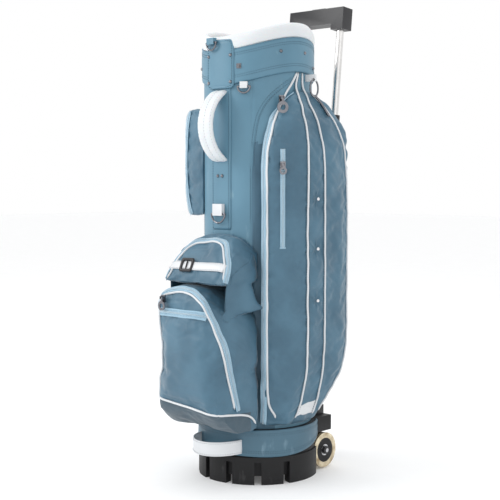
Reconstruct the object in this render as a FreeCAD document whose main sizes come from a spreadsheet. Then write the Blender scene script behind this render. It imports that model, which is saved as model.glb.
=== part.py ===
import FreeCAD, Part
import os
import re

import Sketcher

# A round golf bag that stands on a moulded base with two wheels at its back edge and a telescopic
# pull handle behind it. +Z is up, the pull handle is on +Y, the ball pocket on -Y. Millimetres.

doc = FreeCAD.newDocument("GolfBag")
sheet = doc.addObject("Spreadsheet::Sheet", "Sizes")

DRIVING = {
    # the round body and its base
    "tube_radius": 104, "tube_wall": 4, "base_wall": 12, "base_rim": 28, "floor_wall": 6, "foot_wall": 19,
    "skirt_wall": 4, "skirt_height": 51, "skirt_sweep": 420, "foot_groove_width": 13, "foot_groove_top": 42,
    "foot_gap_top": 15, "seat_gap": 0.3, "stay_radius": 3,
    # the cuff: every edge dips at the front and back and rises at the sides, on one sweep radius
    "cuff_sweep": 221, "cuff_low": 752, "cuff_height": 58, "lip_height": 28, "ring_wall": 11,
    "band_wall": 4, "divider_wall": 4, "divider_offset": 28, "divider_depth": 163, "divider_gap": 0.3,
    # wheels and their axle
    "wheel_radius": 34.5, "wheel_width": 22, "wheel_inner_face": 67, "wheel_inset": 4, "wheel_lift": 2,
    "hub_radius": 24, "bearing_radius": 11, "axle_radius": 4, "running_gap": 0.05, "wheel_bay_clear": 3.5,
    "tail_low": 6,
    # pull handle, measured along its own leaning line from its foot
    "lean": 6, "foot_gap": 4, "stem_half": 54, "outer_tube_radius": 9, "outer_tube_length": 587,
    "outer_tube_wall": 1.3, "inner_tube_radius": 7.4, "inner_tube_wall": 1.2, "inner_tube_low": 240,
    "collar_height": 12, "grip_low": 772, "grip_leg": 12, "grip_bar": 32, "grip_half": 70,
    "grip_leg_inner": 40, "grip_half_depth": 15, "socket_depth": 13, "button_half": 17,
    "button_half_depth": 8, "button_proud": 3, "button_gap": 0.6, "yoke_height": 10, "yoke_half_depth": 4,
    "yoke_travel": 3, "latch_radius": 2, "bracket_drop": 192, "bracket_height": 20,
    # soft pockets
    "pocket_gap": 0.6, "right_reach": 150, "left_reach": 150, "ball_reach": 209, "ball_half": 90,
    "ball_height": 285, "upper_height": 95, "right_top_gap": 12, "left_top_gap": 40, "left_low_gap": 25.5,
    # trim on the front of the bag
    "spine_half": 24, "spine_wall": 2.4, "patch_half": 34, "patch_wall": 2.6, "handle_level": 672,
    "handle_radius": 76, "handle_wall": 12, "handle_half": 19, "strap_radius": 54, "strap_wall": 3,
    "strap_height": 27, "rivet_radius": 3.2,
    # rings and zip pulls
    "wire_radius": 1.7, "wire_gap": 0.5, "spine_ring_level": 508, "spine_ring_radius": 17,
    "cuff_ring_radius": 12, "towel_ring_radius": 14, "side_ring_radius": 16, "pull_gap": 0.4,
    "pull_wall": 1.8, "charm_radius": 11, "charm_drop": 17, "zip_travel_top": 600,
}

# Sizes that follow from the ones above.
DERIVED = {
    "base_radius": "tube_radius + base_wall",
    "axle_level": "wheel_radius + wheel_lift",
    "wheel_back": "tube_radius - wheel_inset",
    "wheel_bay_inner": "wheel_inner_face - 4",
    "wheel_bay_front": "wheel_back - wheel_radius - wheel_bay_clear",
    "wheel_bay_top": "axle_level + wheel_radius + wheel_bay_clear",
    "tail_half": "wheel_inner_face + wheel_width - 2",
    "tail_back": "wheel_back + 22",
    "axle_reach": "wheel_inner_face + wheel_width + 6",
    "floor_level": "wheel_bay_top + 1.5",
    "base_top": "floor_level + base_rim",
    "base_hollow_radius": "base_radius - foot_wall",
    "base_hollow_top": "floor_level - floor_wall",
    "skirt_low": "base_top - skirt_height",
    "stay_circle": "tube_radius - tube_wall - stay_radius - 1",
    "cuff_high": "cuff_low + cuff_height",
    "lip_inner": "tube_radius - ring_wall - 1",
    "lip_outer": "tube_radius + band_wall - 0.2",
    "divider_high": "cuff_high - 7",
    "divider_low": "divider_high - divider_depth",
    "foot_back": "tube_radius + foot_gap",
    "foot_level": "base_top + 2",
    "collar_radius": "outer_tube_radius + 2",
    "grip_bar_low": "grip_low + grip_leg",
    "grip_top": "grip_bar_low + grip_bar",
    "yoke_low": "grip_bar_low + 6",
    "yoke_top": "yoke_low + yoke_height",
    "latch_low": "inner_tube_low + 10",
    "bracket_low": "cuff_low - bracket_drop",
    "ball_low": "base_top - 11",
    "ball_top": "ball_low + ball_height",
    "upper_low": "ball_top + 1.5",
    "upper_top": "upper_low + upper_height",
    "right_low": "base_top + 4",
    "right_top": "cuff_low - right_top_gap",
    "left_low": "upper_top + left_low_gap",
    "left_top": "cuff_low - left_top_gap",
    "left_height": "left_top - left_low",
    "spine_low": "upper_top + 3",
    "patch_low": "cuff_low - 11",
    "patch_high": "cuff_high + 22",
    "patch_inner": "tube_radius + seat_gap + band_wall",
    "patch_face": "patch_inner + patch_wall",
    "handle_centre": "tube_radius - 29",
    "strap_low": "base_top - 46",
    "cuff_ring_level": "cuff_low - 8",
    "towel_ring_level": "cuff_high + 17",
    "side_ring_level": "cuff_low + 8",
    "side_ring_out": "tube_radius + 18",
}

for row, (word, number) in enumerate(DRIVING.items(), 1):
    sheet.set(f"A{row}", word.replace("_", " "))
    sheet.set(f"B{row}", str(number))
    sheet.setAlias(f"B{row}", word)
doc.recompute()


def bind(formula):
    """Point each driving size in a formula at its cell, and write each derived one out in full."""

    def spell(found):
        word = found[0]
        if word in DERIVED:
            return "(" + bind(DERIVED[word]) + ")"
        return "Sizes." + word if word in DRIVING else word

    return re.sub(r"[a-z][a-z_]+", spell, str(formula))


def place(piece, at=(0, 0, 0), axis=(0, 0, 1), turn=0):
    """Turn a piece about an axis and set its corner or centre to three formulas."""
    turned = FreeCAD.Rotation(FreeCAD.Vector(*axis), turn)
    piece.Placement = FreeCAD.Placement(FreeCAD.Vector(0, 0, 0), turned)
    for letter, formula in zip("xyz", at):
        piece.setExpression("Placement.Base." + letter, bind(formula))
    return piece


def primitive(kind, at, axis=(0, 0, 1), turn=0, **formulas):
    piece = doc.addObject("Part::" + kind, "Raw" + kind)
    for size, formula in formulas.items():
        piece.setExpression(size, bind(formula))
    return place(piece, at, axis, turn)


def box(low, span):
    length, width, height = span
    return primitive("Box", low, Length=length, Width=width, Height=height)


AIM = {"z": ((0, 0, 1), 0), "x": ((0, 1, 0), 90), "y": ((-1, 0, 0), 90)}


def cylinder(at, radius, length, along="z"):
    axis, turn = AIM[along]
    return primitive("Cylinder", at, axis, turn, Radius=radius, Height=length)


def fuse(*pieces):
    joined = doc.addObject("Part::MultiFuse", "Joined")
    joined.Shapes = list(pieces)
    return joined


def common(*pieces):
    shared = doc.addObject("Part::MultiCommon", "Shared")
    shared.Shapes = list(pieces)
    return shared


def cut(base, *tools):
    left = doc.addObject("Part::Cut", "Left")
    left.Base = base
    left.Tool = tools[0] if len(tools) == 1 else fuse(*tools)
    return left


def group(*pieces):
    """Separate solids that share one node, such as a set of rivets."""
    together = doc.addObject("Part::Compound", "Together")
    together.Links = list(pieces)
    return together


parts = []


def part(name, piece):
    piece.Label = name
    parts.append(piece)
    return piece


def tube(radius_out, radius_in, low, height):
    outside = cylinder((0, 0, low), radius_out, height)
    inside = cylinder((0, 0, f"{low} - 1"), radius_in, f"{height} + 2")
    return cut(outside, inside)


def above_sweep(level):
    """All that lies above a trough-shaped surface whose lowest line is at this level."""
    return cylinder((0, -200, f"{level} + cuff_sweep"), "cuff_sweep", 400, "y")


def outline(plane, corners, span, mirrored=False):
    """Extrude a closed outline of straight sides; each corner is a pair of formulas."""
    sketch = doc.addObject("Sketcher::SketchObject", "Outline")
    count = len(corners)
    start = [FreeCAD.Vector(10 + 3 * i, 5 + 2 * i * i, 0) for i in range(count)]
    for i in range(count):
        sketch.addGeometry(Part.LineSegment(start[i], start[(i + 1) % count]), False)
    for i in range(count):
        sketch.addConstraint(Sketcher.Constraint("Coincident", i, 2, (i + 1) % count, 1))
    for i, pair in enumerate(corners):
        for kind, formula, first in zip(("DistanceX", "DistanceY"), pair, (start[i].x, start[i].y)):
            held = sketch.addConstraint(Sketcher.Constraint(kind, -1, 1, i, 1, first))
            sketch.setExpression(f"Constraints[{held}]", bind(formula))
    turns = {
        "XY": FreeCAD.Rotation(),
        "XZ": FreeCAD.Rotation(FreeCAD.Vector(1, 0, 0), 90),
        "YZ": FreeCAD.Rotation(FreeCAD.Vector(1, 1, 1), 120),
        "diagonal": FreeCAD.Rotation(45 * -1, 0, 90),
    }
    sketch.Placement = FreeCAD.Placement(FreeCAD.Vector(0, 0, 0), turns[plane])
    sweep = doc.addObject("Part::Extrusion", "Swept")
    sweep.Base = sketch
    sweep.DirMode = "Normal"
    sweep.Solid = True
    sweep.Symmetric = True
    sweep.setExpression("LengthFwd", bind(span))
    return sweep


# ---- base: a hollow moulding on feet, with a square tail between and over the wheels ----

base_block = fuse(
    cylinder((0, 0, 0), "base_radius", "skirt_low - 1"),
    cylinder((0, 0, "skirt_low - 1"), "base_radius - skirt_wall", "base_top - skirt_low + 1"),
    box(("-tail_half", 60, "tail_low"), ("2 * tail_half", "tail_back - 60", "base_top - tail_low")),
)
hollow = cylinder((0, 0, -1), "base_hollow_radius", "base_hollow_top + 1")
keep_tail = box(("-wheel_bay_inner", "wheel_back - 22", -2), ("2 * wheel_bay_inner", 60, "base_hollow_top + 3"))
cup = cylinder((0, 0, "floor_level"), "tube_radius + seat_gap", "base_top - floor_level + 1")
bays = [
    box((x, "wheel_bay_front", -1), (60, 90, "wheel_bay_top + 1")) for x in ("wheel_bay_inner", "-wheel_bay_inner - 60")
]
axle_bore = cylinder(("-wheel_bay_inner - 1", "wheel_back", "axle_level"), "axle_radius + running_gap",
                     "2 * wheel_bay_inner + 2", "x")
grooves = []
for heading in (-160, -132, -104, -76, -48, -20):
    deep = box(("base_radius - 9", "-foot_groove_width / 2", -1), (20, "foot_groove_width", "foot_groove_top + 1"))
    open_low = box(("base_radius - 30", "-foot_groove_width / 2", -1), (30, "foot_groove_width", "foot_gap_top + 1"))
    grooves.append(place(fuse(deep, open_low), turn=heading))
part("base_moulding", cut(base_block, cut(hollow, keep_tail), cup, *bays, axle_bore, *grooves))

skirt = tube("base_radius + 1.5", "base_radius - skirt_wall + seat_gap", "skirt_low", "base_top - skirt_low")
skirt_edge = cylinder((-200, -60, "skirt_low + skirt_sweep"), "skirt_sweep", 400, "x")
tail_room = box(("-tail_half - 1", 60, 0), ("2 * tail_half + 2", 90, "base_top + 1"))
part("base_skirt", cut(common(skirt, skirt_edge), tail_room))

# ---- round body with its stays, cuff and club dividers ----

body = tube("tube_radius", "tube_radius - tube_wall", "floor_level + 0.5", "cuff_low + 60 - floor_level")
part("main_tube", cut(body, above_sweep("cuff_low")))

stays = [
    cylinder((f"stay_circle * {x_share}", f"stay_circle * {y_share}", "floor_level + 0.5"), "stay_radius",
             "cuff_low - floor_level - 8")
    for x_share, y_share in ((0, 1), (0.866, -0.5), (-0.866, -0.5))
]
part("stay_rods", group(*stays))

collar = tube("tube_radius", "tube_radius - ring_wall", "cuff_low", "cuff_high - cuff_low + 60")
part("cuff_ring", cut(common(collar, above_sweep("cuff_low + 0.2")), above_sweep("cuff_high")))
wrap = tube("tube_radius + seat_gap + band_wall", "tube_radius + seat_gap", "cuff_low - 10", "cuff_high - cuff_low + 70")
part("cuff_band", cut(common(wrap, above_sweep("cuff_low - 4")), above_sweep("cuff_high")))
rim = tube("lip_outer", "lip_inner", "cuff_high", "lip_height + 60")
part("cuff_lip", cut(common(rim, above_sweep("cuff_high + 0.3")), above_sweep("cuff_high + lip_height")))

divider_height = "divider_high - divider_low"
cross_walls = [
    box((-100, f"{side} * divider_offset - divider_wall / 2", "divider_low"), (200, "divider_wall", divider_height))
    for side in (-1, 1)
]
long_wall = box(("-divider_wall / 2", "-divider_offset", "divider_low"),
                ("divider_wall", "divider_offset + 100", divider_height))
round_limit = cylinder((0, 0, "divider_low - 1"), "stay_circle - stay_radius - divider_gap", divider_height + " + 2")
part("divider_grid", common(fuse(*cross_walls, long_wall), round_limit))

# ---- wheels on one axle ----

part("axle", cylinder(("-axle_reach", "wheel_back", "axle_level"), "axle_radius", "2 * axle_reach", "x"))
caps = []
for start in ("wheel_inner_face + wheel_width + 1", "-wheel_inner_face - wheel_width - 5"):
    disc = cylinder((start, "wheel_back", "axle_level"), 8, 4, "x")
    caps.append(cut(disc, cylinder((f"{start} - 1", "wheel_back", "axle_level"), "axle_radius", 6, "x")))
part("axle_caps", group(*caps))


def wheel_ring(start, outer, inner, width):
    solid = cylinder((start, "wheel_back", "axle_level"), outer, width, "x")
    bore = cylinder((f"{start} - 1", "wheel_back", "axle_level"), inner, f"{width} + 2", "x")
    return cut(solid, bore)


for side, near in (("right", "wheel_inner_face"), ("left", "-wheel_inner_face - wheel_width")):
    part("wheel_tyre_" + side, wheel_ring(near, "wheel_radius", "hub_radius", "wheel_width"))
    part("wheel_hub_" + side, wheel_ring(near, "hub_radius", "bearing_radius", "wheel_width"))
    part("wheel_bearing_" + side,
         wheel_ring(near, "bearing_radius", "axle_radius + running_gap", "wheel_width"))

# ---- pull handle: built upright about its foot, then leaned back ----


def leaned(piece):
    return place(piece, (0, "foot_back", "foot_level"), (-1, 0, 0), DRIVING["lean"])


def stem(side, radius_out, radius_in, low, length):
    x = f"{side} * stem_half"
    outside = cylinder((x, 0, low), radius_out, length)
    return cut(outside, cylinder((x, 0, f"{low} - 1"), radius_in, f"{length} + 2"))


for name, side in (("right", 1), ("left", -1)):
    part("outer_tube_" + name, leaned(stem(side, "outer_tube_radius", "outer_tube_radius - outer_tube_wall", 0,
                                           "outer_tube_length")))
    part("tube_collar_" + name, leaned(stem(side, "collar_radius", "outer_tube_radius - outer_tube_wall",
                                            "outer_tube_length + 0.2", "collar_height")))
    part("inner_tube_" + name, leaned(stem(side, "inner_tube_radius", "inner_tube_radius - inner_tube_wall",
                                           "inner_tube_low", "grip_low + socket_depth - inner_tube_low")))



def stem_room(low, length):
    """The space that both outer tubes take between two places on their length."""
    return leaned(group(*[cylinder((f"{side} * stem_half", 0, low), "outer_tube_radius", length) for side in (-1, 1)]))


feet = [
    box((f"{side} * stem_half - 14", "foot_back - 13", "base_top"), (28, 27, 18)) for side in (-1, 1)
]
feet_cut = [cut(foot, cylinder((0, 0, "base_top - 1"), "tube_radius + seat_gap", 40), stem_room(0, 60)) for foot in feet]
part("tube_feet", group(*feet_cut))
bracket_block = box(("-stem_half - 11", 0, "foot_level + bracket_low"),
                    ("2 * stem_half + 22", "foot_back + 69", "bracket_height"))
part("upper_bracket", cut(
    bracket_block, cylinder((0, 0, "foot_level + bracket_low - 1"), "tube_radius + seat_gap", "bracket_height + 2"),
    box((-30, 0, "foot_level + bracket_low - 1"), (60, "foot_back + 42", "bracket_height + 2")),
    stem_room("bracket_low - 60", 160),
))

grip_block = cut(
    box(("-grip_half", "-grip_half_depth", "grip_low"), ("2 * grip_half", "2 * grip_half_depth", "grip_top - grip_low")),
    box(("-grip_leg_inner", -50, "grip_low - 1"), ("2 * grip_leg_inner", 100, "grip_bar_low - grip_low + 1")),
)
grip_tools = [
    box(("-stem_half - 4", "-yoke_half_depth - 1", "yoke_low - yoke_travel - 1"),
        ("2 * stem_half + 8", "2 * yoke_half_depth + 2", "yoke_top - yoke_low + yoke_travel + 2")),
    box(("-button_half - button_gap", "-button_half_depth - button_gap", "yoke_top - yoke_travel - 1"),
        ("2 * button_half + 2 * button_gap", "2 * button_half_depth + 2 * button_gap", 40)),
]
for side in (-1, 1):
    x = f"{side} * stem_half"
    grip_tools.append(cylinder((x, 0, "grip_low - 1"), "inner_tube_radius", "socket_depth + 1"))
    grip_tools.append(cylinder((x, 0, "grip_low + 1"), "latch_radius + 1", "yoke_low - grip_low"))
part("grip", leaned(cut(grip_block, *grip_tools)))

part("release_button", leaned(group(box(("-button_half", "-button_half_depth", "yoke_top"),
                                  ("2 * button_half", "2 * button_half_depth", "grip_top + button_proud - yoke_top")))))
part("release_yoke", leaned(group(box(("-stem_half - 3", "-yoke_half_depth", "yoke_low"),
                                ("2 * stem_half + 6", "2 * yoke_half_depth", "yoke_top - yoke_low")))))
latches = [
    cylinder((f"{side} * stem_half", 0, "latch_low"), "latch_radius", "yoke_low - latch_low") for side in (-1, 1)
]
part("latch_rods", leaned(group(*latches)))

# ---- soft pockets: plain closed solids, each the common part of two or more outlines ----

body_room = cylinder((0, 0, 0), "tube_radius + pocket_gap", 900)

right_plan = [(56, -56), (80, -79), (93, -92), (112, -84), (134, -55), ("right_reach - 2", -22),
              ("right_reach", 0), ("right_reach - 1", 38), ("right_reach - 3", 80), (140, 106), (128, 116),
              (100, 118), (76, 114), (68, 84)]
right_side = [(50, "right_low"), (112, "right_low"), (132, "right_low + 45"), ("right_reach - 4", "right_low + 105"),
              ("right_reach", "right_low + 170"), ("right_reach", "right_top - 140"),
              ("right_reach - 3", "right_top - 100"), (138, "right_top - 60"), (124, "right_top - 28"),
              (111, "right_top"), (50, "right_top")]
right_front = [(-94, "right_low"), (-96, "right_top - 180"), (-86, "right_top - 110"), (-64, "right_top - 57"),
               (-44, "right_top - 20"), (-15, "right_top"), (40, "right_top"), (76, "right_top - 25"),
               (100, "right_top - 70"), (118, "right_top - 140"), (118, "right_low + 190"), (108, "right_low + 150"),
               (86, "right_low + 92"), (56, "right_low + 40"), (40, "right_low")]
right_edge = [(-60, "right_low"), (108, "right_low"), (122, "right_low + 32"), (142, "right_low + 92"),
              (142, "right_top - 140"), (134, "right_top - 100"), (122, "right_top - 60"), (112, "right_top - 30"),
              (106, "right_top"), (-60, "right_top")]
part("side_pocket_right", cut(
    common(outline("XY", right_plan, 2000), outline("XZ", right_side, 400), outline("YZ", right_front, 400),
           outline("diagonal", right_edge, 500)),
    body_room,
))

left_plan = [(-50, -88), (-88, -87), (-120, -80), ("-left_reach + 7", -60), ("-left_reach", -20),
             ("-left_reach", 30), ("-left_reach + 12", 62), (-100, 72), (-50, 78)]
left_side = [(-50, "left_low"), (-112, "left_low"), (-135, "left_low + 20"), ("-left_reach", "left_low + 0.248 * left_height"),
             ("-left_reach", "left_top - 0.256 * left_height"), (-135, "left_top - 27"), (-111, "left_top"), (-50, "left_top")]
part("side_pocket_left", cut(common(outline("XY", left_plan, 2000), outline("XZ", left_side, 400)), body_room))

ball_plan = [(-54, -50), ("-ball_half + 4", -66), ("-ball_half", -110), ("-ball_half + 2", -165),
             ("-ball_half + 12", "-ball_reach + 13"), ("-ball_half / 2", "-ball_reach + 3"), (0, "-ball_reach"),
             ("ball_half / 2", "-ball_reach + 3"), ("ball_half - 12", "-ball_reach + 13"), ("ball_half - 2", -165),
             ("ball_half", -110), ("ball_half", -97), (78, -84), (50, -56)]
ball_side = [(-50, "ball_low + 12"), (-117, "ball_low + 12"), (-150, "ball_low + 12"),
             ("-ball_reach + 13", "ball_low + 50"), ("-ball_reach + 6", "ball_low + 77"),
             ("-ball_reach", "ball_low + 137"), ("-ball_reach + 1", "ball_top - 58"),
             ("-ball_reach + 8", "ball_top - 18"), ("-ball_reach + 22", "ball_top"), (-50, "ball_top")]
ball_front = [("-ball_half", "ball_low"), ("-ball_half", "ball_top - 76"), ("-ball_half + 6", "ball_top - 32"),
              ("-ball_half + 28", "ball_top - 8"), (-30, "ball_top"), (15, "ball_top"),
              ("ball_half - 41", "ball_top - 24"), ("ball_half - 16", "ball_top - 66"),
              ("ball_half - 2", "ball_top - 122"), ("ball_half", "ball_low")]
part("ball_pocket", cut(
    common(outline("XY", ball_plan, 2000), outline("YZ", ball_side, 400), outline("XZ", ball_front, 600)),
    body_room,
))

upper_side = [(-50, "upper_low"), ("-ball_reach + 27", "upper_low"), ("-ball_reach + 39", "upper_low + 24"),
              ("-ball_reach + 56", "upper_low + 54"), ("-ball_reach + 75", "upper_low + 78"),
              (-113, "upper_top - 2"), (-50, "upper_top")]
upper_front = [("-ball_half + 12", "upper_low"), ("-ball_half + 12", "upper_low + 24"),
               ("-ball_half + 22", "upper_low + 62"), (-45, "upper_top - 10"), (-15, "upper_top"),
               (20, "upper_top"), (50, "upper_top - 10"), ("ball_half - 16", "upper_low + 58"),
               ("ball_half - 8", "upper_low + 24"), ("ball_half - 8", "upper_low")]
part("upper_pocket", cut(
    common(outline("XY", ball_plan, 2000), outline("YZ", upper_side, 400), outline("XZ", upper_front, 600)),
    body_room,
))

# ---- trim on the front of the bag ----

spine = tube("tube_radius + 0.1 + spine_wall", "tube_radius + 0.1", "spine_low", "cuff_low - 6 - spine_low")
part("spine_strip", common(spine, box(("-spine_half", -200, 0), ("2 * spine_half", 200, 900))))
patch = tube("patch_face", "patch_inner", "patch_low", "patch_high - patch_low")
patch_window = box(("-patch_half", -200, 0), ("2 * patch_half", 200, 900))
part("cuff_patch", common(patch, patch_window))

grip_arch = cut(
    cylinder(("-handle_half", "-handle_centre", "handle_level"), "handle_radius", "2 * handle_half", "x"),
    cylinder((-60, "-handle_centre", "handle_level"), "handle_radius - handle_wall", 120, "x"),
    cylinder((0, 0, 500), "tube_radius + spine_wall + 0.4", 400),
    box((-60, "-tube_radius + 4", 500), (120, 200, 400)),
    box((-60, -200, "patch_low - 0.5"), (120, 200, 100)),
)
part("carry_handle", grip_arch)


def around(piece, heading):
    """Turn a piece made on the +X side of the bag to another heading about the bag's axis."""
    return place(piece, turn=heading)


def dome(out, across, level, radius="rivet_radius"):
    ball = primitive("Sphere", (out, across, level), Radius=radius)
    stud_room = box((out, -200, f"{level} - 20"), (40, 400, 40))
    return common(ball, stud_room)


patch_rivets = [
    around(dome("patch_face + 0.02", 0, level), heading)
    for heading in (-104.5, -75.5) for level in ("patch_low + 12", "patch_high - 30")
]
part("patch_rivets", group(*patch_rivets))

band_face = "patch_inner + 0.02"
stud_places = [(-25, "cuff_high - 1"), (6, "cuff_high - 1"), (27, "cuff_high - 26"), (205, "cuff_high - 1"),
               (174, "cuff_high - 1"), (153, "cuff_high - 26"), (-130, "cuff_high - 26")]
part("cuff_studs", group(*[around(dome(band_face, 0, level), heading) for heading, level in stud_places]))

stud_plate = box((band_face, -4.5, 0), (1.6, 9, 9))
stud_boss = cylinder((band_face, 0, 4.5), 2.6, 4, "x")
hood_stud = fuse(stud_plate, stud_boss)
part("hood_stud", place(hood_stud, (0, 0, "cuff_low + 25"), turn=-67))

spine_face = "tube_radius + spine_wall + 0.12"
part("handle_rivets", group(*[around(dome(spine_face, 0, 579), heading) for heading in (-93, -87)]))
part("tuft_buttons", group(*[
    common(primitive("Sphere", ("right_reach", 0, level), Radius=3.5), box(("right_reach + 0.2", -9, 300), (9, 18, 300)))
    for level in (346, 443, 536)
]))

strap_ring = cut(
    cylinder((0, "-tube_radius", "strap_low"), "strap_radius", "strap_height"),
    cylinder((0, "-tube_radius", "strap_low - 1"), "strap_radius - strap_wall", "strap_height + 2"),
    cylinder((0, 0, 0), "base_radius + 1.7", 200),
    box((-100, "-tube_radius + 14", 0), (200, 200, 200)),
)
part("base_grab_strap", strap_ring)

slope = 29.5
strap_place = (0, "-ball_reach + 45.1", "upper_low + 35.5")
part("glove_strap", place(group(box((-70, -2.6, -12), (142, 2, 24))), strap_place, (-1, 0, 0), slope))
part("glove_buckle", place(cut(box((-46, -8, -16), (30, 5, 32)), box((-41, -9, -10), (20, 7, 20))),
                           strap_place, (-1, 0, 0), slope))

# ---- rings that hang in folded tabs ----


def hanging_d(out, level, radius):
    """A D of wire that hangs from its straight bar."""
    bar = cylinder((out, f"-{radius}", level), "wire_radius", f"2 * {radius}", "y")
    bow = primitive("Torus", (out, 0, level), (0, 1, 0), 90, Radius1=radius, Radius2="wire_radius")
    lower_half = box((0, -60, f"{level} - 60"), (300, 120, 60))
    corners = [primitive("Sphere", (out, f"{end} * {radius}", level), Radius="wire_radius") for end in (-1, 1)]
    return fuse(bar, common(bow, lower_half), *corners)


def tab(face, out, level, half_width, rise, tunnel="wire_radius + wire_gap"):
    """A folded strap that holds a ring's wire in its tunnel."""
    strap = box((face, f"-{half_width}", f"{level} - 3.4"), (f"{out} - ({face}) + 3.4", f"2 * {half_width}", rise))
    return cut(strap, cylinder((out, -60, level), tunnel, 120, "y"))


RINGS = [
    ("spine_ring", -90, "tube_radius + spine_wall + 0.5", 5, "spine_ring_level", "spine_ring_radius", 12, 22),
    ("cuff_ring_small", -62, "tube_radius + 0.2", 5, "cuff_ring_level", "cuff_ring_radius", 7, 12),
    ("towel_ring", -97, "patch_face + 0.2", 5, "towel_ring_level", "towel_ring_radius", 10, 12),
]
for name, heading, face, stand, level, radius, half_width, rise in RINGS:
    out = f"({face} + {stand})"
    part(name, around(hanging_d(out, level, radius), heading))
    part(name + "_tab", around(tab(face, out, level, half_width, rise), heading))

hoop = primitive("Torus", ("side_ring_out", 0, "side_ring_level - side_ring_radius"), (0, 1, 0), 90,
                 Radius1="side_ring_radius", Radius2="wire_radius")
part("side_ring", around(group(hoop), 12))
hoop_tab = tab("tube_radius + 0.2", "side_ring_out", "side_ring_level", 3, 13,
               "wire_radius + wire_gap + 0.5")
part("side_ring_tab", around(hoop_tab, 12))

# ---- zip sliders, each with ears that hold a swinging pull ----


def zip_slider(face, level, across, stand):
    """A slider on a face at this distance, with its pull's pivot that far in front of it."""
    ears = [
        box((face, f"{across} + ({near})", f"{level} - 2.5"), (f"{stand} + 2", 1.4, 5))
        for near in ("1.8 + pull_gap", "-3.2 - pull_gap")
    ]
    return fuse(box((face, f"{across} - 5", f"{level} - 9"), (3, 10, 14)), *ears)


def zip_pull(face, level, across, stand, radius, drop):
    pivot = f"{face} + {stand}"
    stalk = box((f"{pivot} - pull_wall / 2", f"{across} - 1.8", f"{level} - {drop} + 4"),
                ("pull_wall", 3.6, f"{drop} - 4"))
    barrel = cylinder((pivot, f"{across} - 1.8", level), "pull_wall / 2", 3.6, "y")
    disc = cylinder((f"{pivot} - pull_wall / 2", across, f"{level} - {drop}"), radius, "pull_wall", "x")
    hole = cylinder((f"{pivot} - 9", across, f"{level} - {drop}"), f"{radius} * 0.5", 20, "x")
    return fuse(stalk, barrel, cut(disc, hole))


part("garment_zip_slider", around(zip_slider("tube_radius + 14.5", "right_top - 18", 0, 8), -27))
part("garment_zip_pull", around(zip_pull("tube_radius + 14.5", "right_top - 18", 0, 8, "charm_radius", "charm_drop"), -27))
part("short_zip_slider", around(zip_slider(140.6, "zip_travel_top", 18.9, 5), -37.2))
part("short_zip_pull", around(zip_pull(140.6, "zip_travel_top", 18.9, 5, 7, 12), -37.2))
part("ball_zip_slider", around(zip_slider("ball_reach - 4", "ball_top - 24", -50, 6), -90))
part("ball_zip_pull", around(zip_pull("ball_reach - 4", "ball_top - 24", -50, 6, 9, 15), -90))

doc.recompute()

for thing in doc.Objects:
    if "Invalid" in thing.State or "Error" in thing.State:
        raise RuntimeError(f"{thing.Name} ({thing.Label}) failed: {thing.State}")
for piece in parts:
    if piece.Shape.isNull() or not piece.Shape.isValid():
        raise RuntimeError(f"{piece.Label} has no valid shape")

os.makedirs("parts", exist_ok=True)
for piece in parts:
    piece.Shape.exportStep(f"parts/{piece.Label}.step")
    extent = piece.Shape.BoundBox
    low = [round(number, 1) for number in (extent.XMin, extent.YMin, extent.ZMin)]
    high = [round(number, 1) for number in (extent.XMax, extent.YMax, extent.ZMax)]
    print(f"{piece.Label:22s} {len(piece.Shape.Solids)} solid(s) {low} to {high}")
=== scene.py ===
# %% [markdown]
# # A round golf bag with a pull handle and wheels
# The hard parts of this bag (base, wheels, tubes, rings, rivets) come from the CAD frame at their real
# sizes. This lesson adds everything that is sewn: coated leather, nylon pockets, padding, zips, piping and
# stitching. We work in metres, with +Z up, the ball pocket on -Y and the pull handle on +Y.

# %% Load the frame
import math

import bmesh
import bpy
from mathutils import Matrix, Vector, noise
from mathutils.bvhtree import BVHTree


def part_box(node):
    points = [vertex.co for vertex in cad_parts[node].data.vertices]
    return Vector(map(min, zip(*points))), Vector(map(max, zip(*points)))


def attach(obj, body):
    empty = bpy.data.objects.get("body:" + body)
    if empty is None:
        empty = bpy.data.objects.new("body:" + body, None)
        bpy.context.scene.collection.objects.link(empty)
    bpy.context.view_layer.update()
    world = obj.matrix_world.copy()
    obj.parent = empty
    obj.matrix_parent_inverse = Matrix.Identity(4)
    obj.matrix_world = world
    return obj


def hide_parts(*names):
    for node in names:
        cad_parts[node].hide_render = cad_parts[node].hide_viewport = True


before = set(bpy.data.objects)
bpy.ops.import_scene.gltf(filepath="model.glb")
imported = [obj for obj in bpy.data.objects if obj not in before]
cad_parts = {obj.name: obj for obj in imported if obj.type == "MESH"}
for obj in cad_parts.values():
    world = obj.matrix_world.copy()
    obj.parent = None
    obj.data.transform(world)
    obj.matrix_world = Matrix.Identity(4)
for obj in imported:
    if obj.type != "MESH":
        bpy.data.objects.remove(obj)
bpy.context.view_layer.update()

# %% [markdown]
# ## Camera
# A product shot of a tall bag is taken from a little over two metres with a long lens, so that its upright
# lines stay upright. The camera stands at half the bag's height and looks at it from the front and right,
# where the ball pocket, the carry handle and the tall pocket all show.

# %% Camera
AZIMUTH = math.radians(42)
DISTANCE = 2.2
eye = Vector((math.sin(AZIMUTH) * DISTANCE, -math.cos(AZIMUTH) * DISTANCE, 0.567))
aim = Vector((-0.0116, -0.0104, 0.435))
lens = bpy.data.cameras.new("product_lens")
lens.lens = 81.2
camera = bpy.data.objects.new("product_camera", lens)
camera.location = eye
camera.rotation_euler = (aim - eye).to_track_quat("-Z", "Y").to_euler()
bpy.context.collection.objects.link(camera)
bpy.context.scene.camera = camera
print("camera", round((aim - eye).length, 2), "m away")

# %% [markdown]
# ## Light
# Soft light from large panels shows sewn shapes best: one broad key from the left, a weaker fill from the
# right, a panel above and a bright, even world for the white surroundings.

# %% Light


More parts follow.
